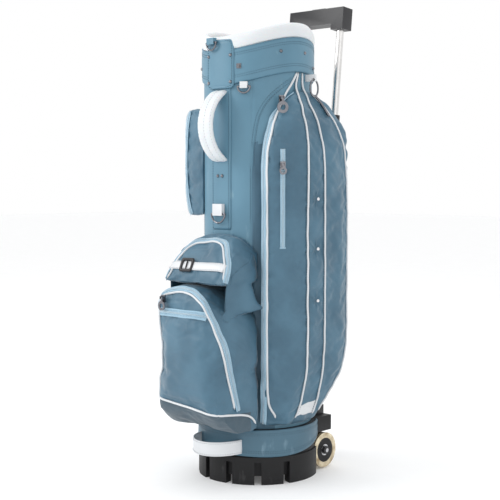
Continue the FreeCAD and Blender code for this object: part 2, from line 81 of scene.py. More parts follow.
def panel(name, place, size, power):
    light = bpy.data.lights.new(name, "AREA")
    light.shape = "SQUARE"
    light.size = size
    light.energy = power
    made = bpy.data.objects.new(name, light)
    made.location = place
    made.rotation_euler = (Vector((0, 0, 0.45)) - Vector(place)).to_track_quat("-Z", "Y").to_euler()
    bpy.context.collection.objects.link(made)
    return made


panel("key_light", (-1.7, -2.2, 2.0), 1.4, 38)
panel("fill_light", (2.8, -0.9, 1.3), 1.8, 4)
panel("top_light", (0.2, 0.6, 2.8), 1.6, 10)
world = bpy.data.worlds.new("studio")
bpy.context.scene.world = world
world.use_nodes = True
world.node_tree.nodes["Background"].inputs["Color"].default_value = (1.0, 1.0, 1.0, 1)
world.node_tree.nodes["Background"].inputs["Strength"].default_value = 1.0
bpy.context.scene.view_settings.view_transform = "Standard"
print("three soft panels and a pale world")

# %% [markdown]
# ## Surface effects
# Every finish here is a plain shader with a few effects in front of it. An effect that several finishes
# share is a node group: build it once, then drop it into each material with its own numbers. Textures use
# object coordinates, because the sewn pieces have no unwrapped map and each object sits in its real place.

# %% Node group helper


def effect(name, inputs, outputs):
    """An empty shader node group with its float inputs and outputs made."""
    group = bpy.data.node_groups.new(name, "ShaderNodeTree")
    for label, value in inputs:
        socket = group.interface.new_socket(name=label, in_out="INPUT", socket_type="NodeSocketFloat")
        socket.default_value = value
    for label in outputs:
        group.interface.new_socket(name=label, in_out="OUTPUT", socket_type="NodeSocketFloat")
    return group, group.nodes.new("NodeGroupInput"), group.nodes.new("NodeGroupOutput")


def add(tree, kind, **settings):
    node = tree.nodes.new("ShaderNode" + kind)
    for key, value in settings.items():
        setattr(node, key, value)
    return node


def join(tree, start, end):
    tree.links.new(start, end)


# %% [markdown]
# **Grain** is the fine pebble of coated leather and of moulded plastic: cells for the pebbles and noise for
# the pores between them. It gives a height for the bump and a tone that darkens the pores a little.

# %% Grain
grain, grain_in, grain_out = effect("pebble_grain", [("Scale", 900.0), ("Pores", 0.5)], ["Height", "Tone"])
place = add(grain, "TexCoord")
cells = add(grain, "TexVoronoi", feature="SMOOTH_F1")
pores = add(grain, "TexNoise")
blend = add(grain, "Mix", data_type="FLOAT")
tone = add(grain, "MapRange")
tone.inputs["To Min"].default_value = 0.35
tone.inputs["To Max"].default_value = 0.75
join(grain, place.outputs["Object"], cells.inputs["Vector"])
join(grain, place.outputs["Object"], pores.inputs["Vector"])
join(grain, grain_in.outputs["Scale"], cells.inputs["Scale"])
join(grain, grain_in.outputs["Scale"], pores.inputs["Scale"])
join(grain, grain_in.outputs["Pores"], blend.inputs["Factor"])
join(grain, cells.outputs["Distance"], blend.inputs["A"])
join(grain, pores.outputs["Fac"], blend.inputs["B"])
join(grain, blend.outputs["Result"], tone.inputs["Value"])
join(grain, blend.outputs["Result"], grain_out.inputs["Height"])
join(grain, tone.outputs["Result"], grain_out.inputs["Tone"])
print("effect:", grain.name)

# %% [markdown]
# **Weave** is the over and under of threads. Two sets of fine bands, one along the height and one around,
# are multiplied, which leaves a small bump where the threads cross.

# %% Weave
weave, weave_in, weave_out = effect("thread_weave", [("Threads", 320.0)], ["Height", "Tone"])
place = add(weave, "TexCoord")
bands = []
for direction in ("Z", "DIAGONAL"):
    band = add(weave, "TexWave", wave_type="BANDS", bands_direction=direction)
    band.inputs["Distortion"].default_value = 0.6
    band.inputs["Detail"].default_value = 1
    join(weave, place.outputs["Object"], band.inputs["Vector"])
    join(weave, weave_in.outputs["Threads"], band.inputs["Scale"])
    bands.append(band)
crossing = add(weave, "Math", operation="MULTIPLY")
join(weave, bands[0].outputs["Fac"], crossing.inputs[0])
join(weave, bands[1].outputs["Fac"], crossing.inputs[1])
join(weave, crossing.outputs[0], weave_out.inputs["Height"])
soft = add(weave, "MapRange")
soft.inputs["To Min"].default_value = 0.4
soft.inputs["To Max"].default_value = 0.6
join(weave, crossing.outputs[0], soft.inputs["Value"])
join(weave, soft.outputs["Result"], weave_out.inputs["Tone"])
print("effect:", weave.name)

# %% [markdown]
# **Patches** is the slow change of colour and shine over a hand's width that keeps a large panel from
# looking printed, and **rub** is the broken mask of small scuffs where a bag is handled.

# %% Patches and rub
patches, patches_in, patches_out = effect("slow_patches", [("Scale", 9.0)], ["Tone"])
place = add(patches, "TexCoord")
cloud = add(patches, "TexNoise")
cloud.inputs["Detail"].default_value = 4
join(patches, place.outputs["Object"], cloud.inputs["Vector"])
join(patches, patches_in.outputs["Scale"], cloud.inputs["Scale"])
join(patches, cloud.outputs["Fac"], patches_out.inputs["Tone"])

rub, rub_in, rub_out = effect("handling_rub", [("Scale", 60.0), ("Amount", 0.62)], ["Mask"])
place = add(rub, "TexCoord")
stretch = add(rub, "Mapping")
stretch.inputs["Scale"].default_value = (1, 1, 0.35)
specks = add(rub, "TexNoise")
specks.inputs["Detail"].default_value = 8
edge = add(rub, "MapRange")
edge.inputs["From Max"].default_value = 0.8
join(rub, place.outputs["Object"], stretch.inputs["Vector"])
join(rub, stretch.outputs["Vector"], specks.inputs["Vector"])
join(rub, rub_in.outputs["Scale"], specks.inputs["Scale"])
join(rub, specks.outputs["Fac"], edge.inputs["Value"])
join(rub, rub_in.outputs["Amount"], edge.inputs["From Min"])
join(rub, edge.outputs["Result"], rub_out.inputs["Mask"])
print("effects:", patches.name, rub.name)

# %% [markdown]
# ## Finishes
# One function makes every finish. It lays the fine effect (grain or weave) and the slow patches over two
# close colours, lets both move the roughness a little, and feeds the fine height to a bump. Numbers that
# are the same all over, such as metallic or sheen, stay on the shader itself.

# %% Finish maker


def finish(name, dark, light, fine=None, scale=900.0, rough=(0.4, 0.6), bump=0.15, depth=0.0003,
           worn=0.0, worn_colour=(0.5, 0.5, 0.5), patch_scale=9.0, **shader):
    made = bpy.data.materials.new(name)
    made.use_nodes = True
    tree = made.node_tree
    surface = tree.nodes["Principled BSDF"]
    for label, value in shader.items():
        surface.inputs[label.replace("_", " ")].default_value = value
    slow = add(tree, "Group", node_tree=patches)
    slow.inputs["Scale"].default_value = patch_scale
    tone = slow.outputs["Tone"]
    if fine:
        detail = add(tree, "Group", node_tree=fine)
        detail.inputs[0].default_value = scale
        both = add(tree, "Math", operation="ADD", use_clamp=True)
        offset = add(tree, "Math", operation="ADD")
        offset.inputs[1].default_value = -0.5
        join(tree, detail.outputs["Tone"], offset.inputs[0])
        join(tree, offset.outputs[0], both.inputs[0])
        join(tree, tone, both.inputs[1])
        tone = both.outputs[0]
        relief = add(tree, "Bump")
        relief.inputs["Strength"].default_value = bump
        relief.inputs["Distance"].default_value = depth
        join(tree, detail.outputs["Height"], relief.inputs["Height"])
        join(tree, relief.outputs["Normal"], surface.inputs["Normal"])
    spread = add(tree, "MapRange")
    spread.inputs["From Min"].default_value = 0.3
    spread.inputs["From Max"].default_value = 0.7
    colour = add(tree, "Mix", data_type="RGBA")
    colour.inputs["A"].default_value = (*dark, 1)
    colour.inputs["B"].default_value = (*light, 1)
    join(tree, tone, spread.inputs["Value"])
    join(tree, spread.outputs["Result"], colour.inputs["Factor"])
    shade = colour.outputs["Result"]
    if worn:
        scuffs = add(tree, "Group", node_tree=rub)
        scuffs.inputs["Amount"].default_value = worn
        over = add(tree, "Mix", data_type="RGBA")
        over.inputs["B"].default_value = (*worn_colour, 1)
        join(tree, scuffs.outputs["Mask"], over.inputs["Factor"])
        join(tree, shade, over.inputs["A"])
        shade = over.outputs["Result"]
    join(tree, shade, surface.inputs["Base Color"])
    shine = add(tree, "MapRange")
    shine.inputs["To Min"].default_value = rough[0]
    shine.inputs["To Max"].default_value = rough[1]
    join(tree, tone, shine.inputs["Value"])
    join(tree, shine.outputs["Result"], surface.inputs["Roughness"])
    return made


# %% [markdown]
# The bag is grey blue. The stiff parts are smooth coated leather, paler because they are taut and catch the
# light. The pockets are a thin nylon, deeper in colour, with a soft sheen along every pucker. Trim is white
# coated leather, zip tapes are a pale sky blue, and the fittings are dark plated metal.

# %% Finishes
LEATHER = finish("blue_coated_leather", (0.080, 0.192, 0.272), (0.112, 0.246, 0.338), grain, 1100,
                 (0.36, 0.52), 0.22, worn=0.66, worn_colour=(0.20, 0.34, 0.42), Coat_Weight=0.08,
                 Coat_Roughness=0.35)
LEATHER_DEEP = finish("blue_coated_leather_base", (0.048, 0.116, 0.166), (0.068, 0.150, 0.210), grain,
                      1100, (0.38, 0.55), 0.22, worn=0.62, worn_colour=(0.17, 0.28, 0.35),
                      Coat_Weight=0.05)
NYLON = finish("blue_nylon", (0.046, 0.118, 0.178), (0.078, 0.180, 0.258), weave, 340, (0.36, 0.56), 0.25,
               0.0004, patch_scale=14, Sheen_Weight=0.25, Sheen_Roughness=0.4)
NYLON_UNDER = finish("blue_nylon_underside", (0.040, 0.072, 0.098), (0.060, 0.105, 0.140), weave, 340,
                     (0.5, 0.7), 0.25, 0.0004, Sheen_Weight=0.15)
WHITE = finish("white_coated_leather", (0.60, 0.62, 0.64), (0.72, 0.74, 0.76), grain, 900, (0.36, 0.5),
               0.18, worn=0.70, worn_colour=(0.55, 0.56, 0.57), Coat_Weight=0.1, Coat_Roughness=0.3)
PADDING = finish("white_padded_leather", (0.64, 0.67, 0.69), (0.74, 0.77, 0.79), grain, 700, (0.4, 0.55),
                 0.2, worn=0.72, worn_colour=(0.62, 0.64, 0.66), Subsurface_Weight=0.05)
TAPE = finish("sky_zip_tape", (0.28, 0.45, 0.57), (0.38, 0.56, 0.68), weave, 900, (0.5, 0.7), 0.4, 0.0003)
COIL = finish("pale_zip_coil", (0.52, 0.66, 0.75), (0.66, 0.78, 0.85), weave, 600, (0.3, 0.45), 0.2)
THREAD = finish("blue_thread", (0.035, 0.085, 0.125), (0.055, 0.12, 0.165), weave, 2500, (0.5, 0.7), 0.4,
                0.0001)
THREAD_PALE = finish("grey_thread", (0.40, 0.42, 0.44), (0.52, 0.54, 0.56), weave, 2500, (0.5, 0.7), 0.4,
                     0.0001)
RUBBER = finish("black_moulding", (0.006, 0.006, 0.007), (0.012, 0.012, 0.013), grain, 1400, (0.42, 0.62),
                0.35, worn=0.64, worn_colour=(0.045, 0.045, 0.047), Specular_IOR_Level=0.28)
PLASTIC = finish("black_satin_plastic", (0.016, 0.016, 0.018), (0.030, 0.030, 0.033), grain, 1800,
                 (0.28, 0.42), 0.12, worn=0.66, worn_colour=(0.05, 0.05, 0.054), Specular_IOR_Level=0.35)
BUTTON = finish("grey_button_plastic", (0.035, 0.036, 0.04), (0.05, 0.052, 0.056), grain, 1800,
                (0.22, 0.36), 0.08)
FLEECE = finish("blue_fleece", (0.045, 0.095, 0.135), (0.075, 0.145, 0.195), grain, 500, (0.85, 0.98),
                0.8, 0.0008, Sheen_Weight=0.6)
TUBE = finish("drawn_aluminium", (0.62, 0.61, 0.60), (0.80, 0.79, 0.78), grain, 260, (0.16, 0.30), 0.03,
              worn=0.66, worn_colour=(0.45, 0.45, 0.45), Metallic=1.0)
STEEL = finish("turned_steel", (0.42, 0.42, 0.43), (0.58, 0.58, 0.60), grain, 500, (0.2, 0.4), 0.05,
               Metallic=1.0)
GUNMETAL = finish("dark_plated_metal", (0.13, 0.13, 0.145), (0.26, 0.26, 0.28), grain, 500, (0.14, 0.30),
                  0.05, worn=0.64, worn_colour=(0.42, 0.40, 0.38), Metallic=1.0)
SILVER = finish("bright_plated_metal", (0.62, 0.62, 0.64), (0.80, 0.80, 0.82), grain, 500, (0.10, 0.22),
                0.04, Metallic=1.0)
URETHANE = finish("amber_urethane", (0.30, 0.21, 0.10), (0.80, 0.70, 0.50), grain, 60, (0.10, 0.24), 0.05,
                  patch_scale=70, Metallic=0.55, Coat_Weight=0.6, Coat_Roughness=0.06)
FLOOR = finish("pale_floor", (0.85, 0.855, 0.86), (0.87, 0.875, 0.88), grain, 60, (0.6, 0.8), 0.02,
               Emission_Color=(1, 1, 1, 1), Emission_Strength=0.10)
print(len(bpy.data.materials), "finishes")

# %% [markdown]
# The floor is a wide pale sheet that glows a very little, so that it runs into the white surroundings with
# only a soft shadow under the bag. It is stage, not part of the bag.

# %% Floor
bpy.ops.mesh.primitive_plane_add(size=30)
floor = bpy.context.object
floor.name = "studio_floor"
floor.data.materials.append(FLOOR)

# %% [markdown]
# ## Carried-over CAD parts
# Wheels' axle, tubes, rings, rivets and zip pulls already have their true shape, so they only need a
# finish. Assigning to the material slot keeps the mesh as it is.

# %% Finish the CAD parts that stay


def coat(node, material):
    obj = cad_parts[node]
    obj.data.materials.clear()
    obj.data.materials.append(material)


STAYS = {
    TUBE: ["outer_tube_left", "outer_tube_right", "inner_tube_left", "inner_tube_right"],
    STEEL: ["axle", "wheel_bearing_left", "wheel_bearing_right", "stay_rods", "latch_rods"],
    GUNMETAL: ["patch_rivets", "cuff_studs", "hood_stud", "handle_rivets", "spine_ring", "cuff_ring_small",
               "towel_ring", "side_ring", "garment_zip_slider", "garment_zip_pull", "short_zip_slider",
               "short_zip_pull", "ball_zip_slider", "ball_zip_pull"],
    SILVER: ["tuft_buttons"],
    URETHANE: ["wheel_tyre_left", "wheel_tyre_right"],
    RUBBER: ["wheel_hub_left", "wheel_hub_right"],
    PLASTIC: ["axle_caps", "cuff_ring", "release_yoke", "tube_collar_left",
              "tube_collar_right"],
    BUTTON: ["release_button"],
}
for material, nodes in STAYS.items():
    for node in nodes:
        coat(node, material)
print(sum(len(nodes) for nodes in STAYS.values()), "CAD parts keep their shape")

# %% [markdown]
# A mould can't make a knife edge, so the moulded parts get rounded edges. The CAD mesh itself is left alone:
# we copy it, merge its flat faces, bevel the copy and let the copy stand for the node.

# %% Rounded copies of moulded parts


def rounded(node, body, material, width, segments=3):
    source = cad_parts[node]
    work = bmesh.new()
    work.from_mesh(source.data)
    bmesh.ops.remove_doubles(work, verts=work.verts, dist=0.00002)
    bmesh.ops.dissolve_limit(work, angle_limit=math.radians(1.5), verts=work.verts, edges=work.edges)
    mesh = bpy.data.meshes.new(node + "_rounded")
    work.to_mesh(mesh)
    work.free()
    made = bpy.data.objects.new(node + "_rounded", mesh)
    bpy.context.collection.objects.link(made)
    mesh.materials.clear()
    mesh.materials.append(material)
    bevel = made.modifiers.new("edge", "BEVEL")
    bevel.width = width
    bevel.segments = segments
    bevel.limit_method = "ANGLE"
    bevel.angle_limit = math.radians(35)
    bevel.harden_normals = True
    mesh.polygons.foreach_set("use_smooth", [True] * len(mesh.polygons))
    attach(made, body)
    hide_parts(node)
    return made


rounded("base_moulding", "bag", RUBBER, 0.0016)
rounded("tube_feet", "bag", PLASTIC, 0.0015)
rounded("upper_bracket", "bag", PLASTIC, 0.0015)
rounded("grip", "handle", PLASTIC, 0.0055, 5)
rounded("divider_grid", "bag", FLEECE, 0.0016)
for tab in ("spine_ring_tab", "cuff_ring_small_tab", "side_ring_tab"):
    rounded(tab, "bag", WHITE, 0.0009)
rounded("towel_ring_tab", "bag", LEATHER, 0.0009)
print("rounded copies made")

# %% [markdown]
# ## Shape helpers
# Most of the sewn parts follow one of two rules. Rings such as the cuff keep one cross-section all the way
# round, and their height follows the saddle of the bag's mouth, which is lowest at front and back and rises
# at the sides. Trims such as a zip run along a path on a finished surface. These helpers make both.

# %% Curves and mesh helpers
SADDLE = 0.221
TUBE_RADIUS = 0.104
CUFF_LOW = 0.752
CUFF_HIGH = 0.810
BASE_TOP = 0.104


def saddle(x):
    return SADDLE - math.sqrt(SADDLE * SADDLE - x * x)


def smooth_line(points, step, closed=False):
    """Points about one step apart along a smooth curve through the given points."""
    points = [Vector(point) for point in points]
    count = len(points)
    line = []
    for index in range(count if closed else count - 1):
        before = points[index - 1] if closed or index else points[0] * 2 - points[1]
        start = points[index]
        end = points[(index + 1) % count]
        last = closed or index + 2 < count
        after = points[(index + 2) % count] if last else points[-1] * 2 - points[-2]
        parts = max(2, round((end - start).length / step))
        for number in range(parts):
            t = number / parts
            bend = 2 * before - 5 * start + 4 * end - after
            turn = 3 * start - before - 3 * end + after
            line.append(0.5 * (2 * start + (end - before) * t + bend * t * t + turn * t ** 3))
    if not closed:
        line.append(points[-1])
    return line


def new_piece(name, verts, faces, material, body="bag", smooth=True):
    mesh = bpy.data.meshes.new(name)
    mesh.from_pydata([tuple(vert) for vert in verts], [], faces)
    mesh.materials.append(material)
    mesh.polygons.foreach_set("use_smooth", [smooth] * len(mesh.polygons))
    mesh.update()
    made = bpy.data.objects.new(name, mesh)
    bpy.context.collection.objects.link(made)
    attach(made, body)
    return made


def loft(rows, closed_rows, cap=True):
    """Faces between equal rows of points. Each row is a closed loop; rows may close on themselves too."""
    across = len(rows[0])
    count = len(rows)
    verts = [point for row in rows for point in row]
    faces = []
    for row in range(count if closed_rows else count - 1):
        here = row * across
        there = ((row + 1) % count) * across
        for col in range(across):
            side = (col + 1) % across
            faces.append((here + col, here + side, there + side, there + col))
    if cap and not closed_rows:
        faces.append(tuple(reversed(range(across))))
        faces.append(tuple(range((count - 1) * across, count * across)))
    return verts, faces


def face_outward(made):
    work = bmesh.new()
    work.from_mesh(made.data)
    bmesh.ops.recalc_face_normals(work, faces=work.faces)
    work.to_mesh(made.data)
    work.free()
    return made


def ring(name, outline, material, start=0.0, end=360.0, steps=216, lift=saddle, ruffle=0.0):
    """Sweeps a closed (radius, height) outline round the bag's axis; lift raises it by its x."""
    closed = end - start >= 360
    rows = []
    for number in range(steps if closed else steps + 1):
        heading = math.radians(start + (end - start) * number / steps)
        row = []
        for radius, height in outline:
            puff = ruffle * noise.noise(Vector((math.cos(heading) * 3, math.sin(heading) * 3, height * 30)))
            x = (radius + puff) * math.cos(heading)
            y = (radius + puff) * math.sin(heading)
            row.append(Vector((x, y, height + lift(TUBE_RADIUS * math.cos(heading)))))
        rows.append(row)
    verts, faces = loft(rows, closed)
    return face_outward(new_piece(name, verts, faces, material))


def section(points, step=0.0015):
    """A smooth closed section through a few (radius, height) points."""
    return [(point.x, point.y) for point in smooth_line([(r, h, 0) for r, h in points], step, closed=True)]


print("helpers ready")

# %% [markdown]
# ## Round body
# The body is a sheet of coated leather wrapped round a stiff tube and sewn in upright panels. At each seam
# the leather is turned under and stitched, so there is a narrow valley with a soft shoulder on both sides.
# We model the skin as a fine grid and press the valleys into it by the distance from each seam.

# %% Body skin
SEAMS = [-101.5, -78.5, -54.0, -132.0, 150.0, 118.0, 62.0]
SKIN_LOW = 0.0765
SKIN_LEVELS = 120
SKIN_INSIDE = 0.1
VALLEY_DEPTH = 0.0007
VALLEY_WIDTH = 0.0018
SHOULDER_RISE = 0.00025
NYLON_FROM = -54
NYLON_TO = -30
NYLON_TOP = 0.640
rows = []
for number in range(361):
    heading_deg = number - 180
    heading = math.radians(heading_deg)
    top = CUFF_LOW + saddle(TUBE_RADIUS * math.cos(heading)) - 0.0002
    valley = 0.0
    for seam in SEAMS:
        off = abs((heading_deg - seam + 180) % 360 - 180) * math.radians(1) * TUBE_RADIUS
        shoulder = SHOULDER_RISE * math.exp(-((off - 0.005) / 0.003) ** 2)
        valley += VALLEY_DEPTH * math.exp(-(off / VALLEY_WIDTH) ** 2) - shoulder
    row = []
    for level in range(SKIN_LEVELS + 1):
        height = SKIN_LOW + (top - SKIN_LOW) * level / SKIN_LEVELS
        soft = noise.noise(Vector((math.cos(heading) * 2.2, math.sin(heading) * 2.2, height * 9)))
        radius = TUBE_RADIUS - valley + 0.00035 * soft
        row.append(Vector((radius * math.cos(heading), radius * math.sin(heading), height)))
    for level in (SKIN_LEVELS, SKIN_LEVELS // 2, 0):
        height = SKIN_LOW + (top - SKIN_LOW) * level / SKIN_LEVELS
        row.append(Vector((SKIN_INSIDE * math.cos(heading), SKIN_INSIDE * math.sin(heading), height)))
    rows.append(row)
verts, faces = loft(rows[:-1], True)
body_skin = face_outward(new_piece("body_skin", verts, faces, LEATHER))
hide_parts("main_tube")
body_skin.data.materials.append(NYLON)
for face in body_skin.data.polygons:
    heading_deg = math.degrees(math.atan2(face.center.y, face.center.x))
    if NYLON_FROM < heading_deg < NYLON_TO and face.center.z < NYLON_TOP:
        face.material_index = 1
print("body skin", len(body_skin.data.polygons), "faces")

# %% [markdown]
# ## Cuff, lip and base skirt
# The cuff is a padded band round the mouth. Its lip is a white roll of foam under leather that curls over
# the rim, so clubs slide past it without a scratch. The skirt hides the joint between body and base.

# %% Cuff band, lip and skirt
cuff_band = ring("cuff_band_leather", section([
    (0.1044, CUFF_LOW - 0.003), (0.1060, CUFF_LOW - 0.0044), (0.1078, CUFF_LOW - 0.003),
    (0.1084, CUFF_LOW + 0.004), (0.1081, CUFF_LOW + 0.009), (0.1085, CUFF_LOW + 0.020),
    (0.1086, CUFF_LOW + 0.030), (0.1085, CUFF_HIGH - 0.018), (0.1081, CUFF_HIGH - 0.009),
    (0.1084, CUFF_HIGH - 0.004), (0.1078, CUFF_HIGH - 0.0005), (0.1060, CUFF_HIGH + 0.0004),
    (0.1044, CUFF_HIGH - 0.002), (0.1042, CUFF_HIGH - 0.02), (0.1042, CUFF_LOW + 0.02),
]), LEATHER, ruffle=0.0006)
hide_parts("cuff_band")

lip = ring("cuff_lip_roll", section([
    (0.1060, CUFF_HIGH + 0.0015), (0.1085, CUFF_HIGH + 0.004), (0.1100, CUFF_HIGH + 0.011),
    (0.1090, CUFF_HIGH + 0.020), (0.1050, CUFF_HIGH + 0.027), (0.0995, CUFF_HIGH + 0.0285),
    (0.0945, CUFF_HIGH + 0.025), (0.0915, CUFF_HIGH + 0.016), (0.0914, CUFF_HIGH + 0.006),
    (0.0935, CUFF_HIGH + 0.0010), (0.1000, CUFF_HIGH + 0.0008),
]), PADDING, ruffle=0.0016)
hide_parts("cuff_lip")


SKIRT_FROM = 140.4
SKIRT_TO = 399.6
SKIRT_STEPS = 200
SKIRT_ARC = 0.420


def skirt_low(heading):
    y = 0.115 * math.sin(heading)
    return 0.053 + SKIRT_ARC - math.sqrt(SKIRT_ARC ** 2 - (y + 0.060) ** 2)


rows = []
for number in range(SKIRT_STEPS + 1):
    heading = math.radians(SKIRT_FROM + (SKIRT_TO - SKIRT_FROM) * number / SKIRT_STEPS)
    low = skirt_low(heading)
    outline = [(0.1125, low + 0.002), (0.1140, low - 0.0006), (0.1166, low), (0.1178, low + 0.004),
               (0.1172, low + 0.009), (0.1176, 0.5 * (low + BASE_TOP)), (0.1170, BASE_TOP - 0.009),
               (0.1176, BASE_TOP - 0.004), (0.1160, BASE_TOP), (0.1135, BASE_TOP - 0.0004),
               (0.1124, BASE_TOP - 0.003), (0.1123, 0.5 * (low + BASE_TOP))]
    row = []
    for radius, height in section(outline, 0.003):
        row.append(Vector((radius * math.cos(heading), radius * math.sin(heading), height)))
    rows.append(row)
across = min(len(row) for row in rows)
even = []
for row in rows:
    even.append([row[round(number * (len(row) - 1) / (across - 1))] for number in range(across)])
verts, faces = loft(even, False)
skirt = face_outward(new_piece("base_skirt_leather", verts, faces, LEATHER_DEEP))
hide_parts("base_skirt")
print("cuff, lip and skirt done")

# %% [markdown]
# ## Soft pockets
# A pocket is a bag of thin nylon over a little foam, sewn down along its zips and piping. The cloth between
# two seams is cut a touch larger than the gap, so it bulges and creases towards the stitches. A short cloth
# simulation gives exactly that. The plain CAD solid is copied, remeshed evenly, drawn in by the foam's rise
# and then inflated, with the seam lines and the back against the tube held still.

# %% Seam paths
RIGHT_EDGE = [(0.0875, -0.0895, 0.112), (0.0925, -0.0925, 0.190), (0.0935, -0.0925, 0.330),
              (0.0935, -0.0925, 0.480), (0.0925, -0.0915, 0.600), (0.0905, -0.0820, 0.650),
              (0.0890, -0.0620, 0.688), (0.0960, -0.0430, 0.718), (0.1020, -0.0290, 0.742)]
RIGHT_EDGE_CORD = [(0.1150, -0.0800, 0.112), (0.1040, -0.0865, 0.160), (0.1015, -0.0880, 0.220),
                   (0.1015, -0.0882, 0.350), (0.1015, -0.0882, 0.480), (0.1005, -0.0875, 0.600),
                   (0.0985, -0.0760, 0.655), (0.0980, -0.0560, 0.695), (0.1010, -0.0370, 0.728),
                   (0.1040, -0.0200, 0.752), (0.1045, -0.0080, 0.772)]
RIGHT_FRONT_LINE = [(0.1042, -0.004, 0.772), (0.1060, -0.010, 0.752), (0.115, -0.015, 0.735),
                    (0.130, -0.019, 0.713), (0.141, -0.0215, 0.672), (0.149, -0.0235, 0.600),
                    (0.150, -0.0250, 0.480), (0.150, -0.0250, 0.300), (0.147, -0.0250, 0.220),
                    (0.137, -0.0250, 0.160), (0.125, -0.0250, 0.120)]
RIGHT_REAR_LINE = [(0.1040, 0.008, 0.772), (0.1060, 0.008, 0.752), (0.115, 0.009, 0.735),
                   (0.130, 0.012, 0.712), (0.142, 0.017, 0.668), (0.150, 0.0215, 0.600),
                   (0.150, 0.0240, 0.480), (0.150, 0.0240, 0.300), (0.147, 0.0240, 0.220),
                   (0.137, 0.0240, 0.160), (0.125, 0.0240, 0.120)]
RIGHT_BACK_EDGE = [(0.112, 0.024, 0.738), (0.124, 0.046, 0.716), (0.137, 0.070, 0.676),
                   (0.143, 0.092, 0.610), (0.141, 0.105, 0.520), (0.141, 0.105, 0.400),
                   (0.141, 0.104, 0.290), (0.141, 0.090, 0.220), (0.137, 0.062, 0.165),
                   (0.128, 0.042, 0.125)]
SHORT_ZIP = [(0.1235, -0.0690, 0.628), (0.1240, -0.0695, 0.540), (0.1235, -0.0690, 0.446)]
BALL_ARCH = [(-0.0885, -0.188, 0.166), (-0.0890, -0.196, 0.273), (-0.0850, -0.199, 0.330),
             (-0.0680, -0.198, 0.364), (-0.0300, -0.198, 0.377), (0.0120, -0.198, 0.375),
             (0.0460, -0.196, 0.352), (0.0710, -0.193, 0.316), (0.0880, -0.182, 0.274),
             (0.0895, -0.166, 0.212), (0.0895, -0.150, 0.152)]
BALL_LEVEL = [(-0.083, -0.202, 0.326), (-0.050, -0.206, 0.3275), (0.0, -0.208, 0.328),
              (0.038, -0.206, 0.3275), (0.060, -0.203, 0.326)]
BALL_FOOT = [(-0.0885, -0.184, 0.166), (-0.050, -0.196, 0.161), (0.0, -0.198, 0.156), (0.050, -0.190, 0.150),
             (0.0840, -0.164, 0.146), (0.0895, -0.140, 0.143), (0.0890, -0.118, 0.136),
             (0.0850, -0.104, 0.122)]
UPPER_ARCH = [(-0.0760, -0.176, 0.386), (-0.0740, -0.170, 0.410), (-0.0620, -0.155, 0.440),
              (-0.0380, -0.136, 0.462), (0.0, -0.130, 0.470), (0.0360, -0.136, 0.463),
              (0.0640, -0.156, 0.438), (0.0780, -0.170, 0.408), (0.0800, -0.176, 0.386)]
LEFT_EDGE = [(-0.100, -0.086, 0.502), (-0.112, -0.082, 0.530), (-0.119, -0.079, 0.575),
             (-0.119, -0.079, 0.645), (-0.113, -0.080, 0.682), (-0.104, -0.084, 0.706)]
TUFTS = [(0.150, 0.0, 0.346), (0.150, 0.0, 0.443), (0.150, 0.0, 0.536)]
print("seam paths ready")

# %% [markdown]
# The numbers below are depths and reaches in metres. A crease sits just off a seam, a fold runs in from it,
# and a tuft button pulls a round dimple with six small rays. The simulation runs for a dozen frames, which is
# long enough for the cloth to fill, and a cap keeps any point from moving further than the foam allows.

# %% Soft shell
CLOTH_FRAMES = 12
SEWN_REACH = 0.0075
CREASE_DEPTH = 0.0016
FOLD_DEPTH = 0.0022
FOLD_REACH = 0.034
TUFT_REACH = 0.035
TUFT_DEPTH = 0.0030
RAY_DEPTH = 0.0011


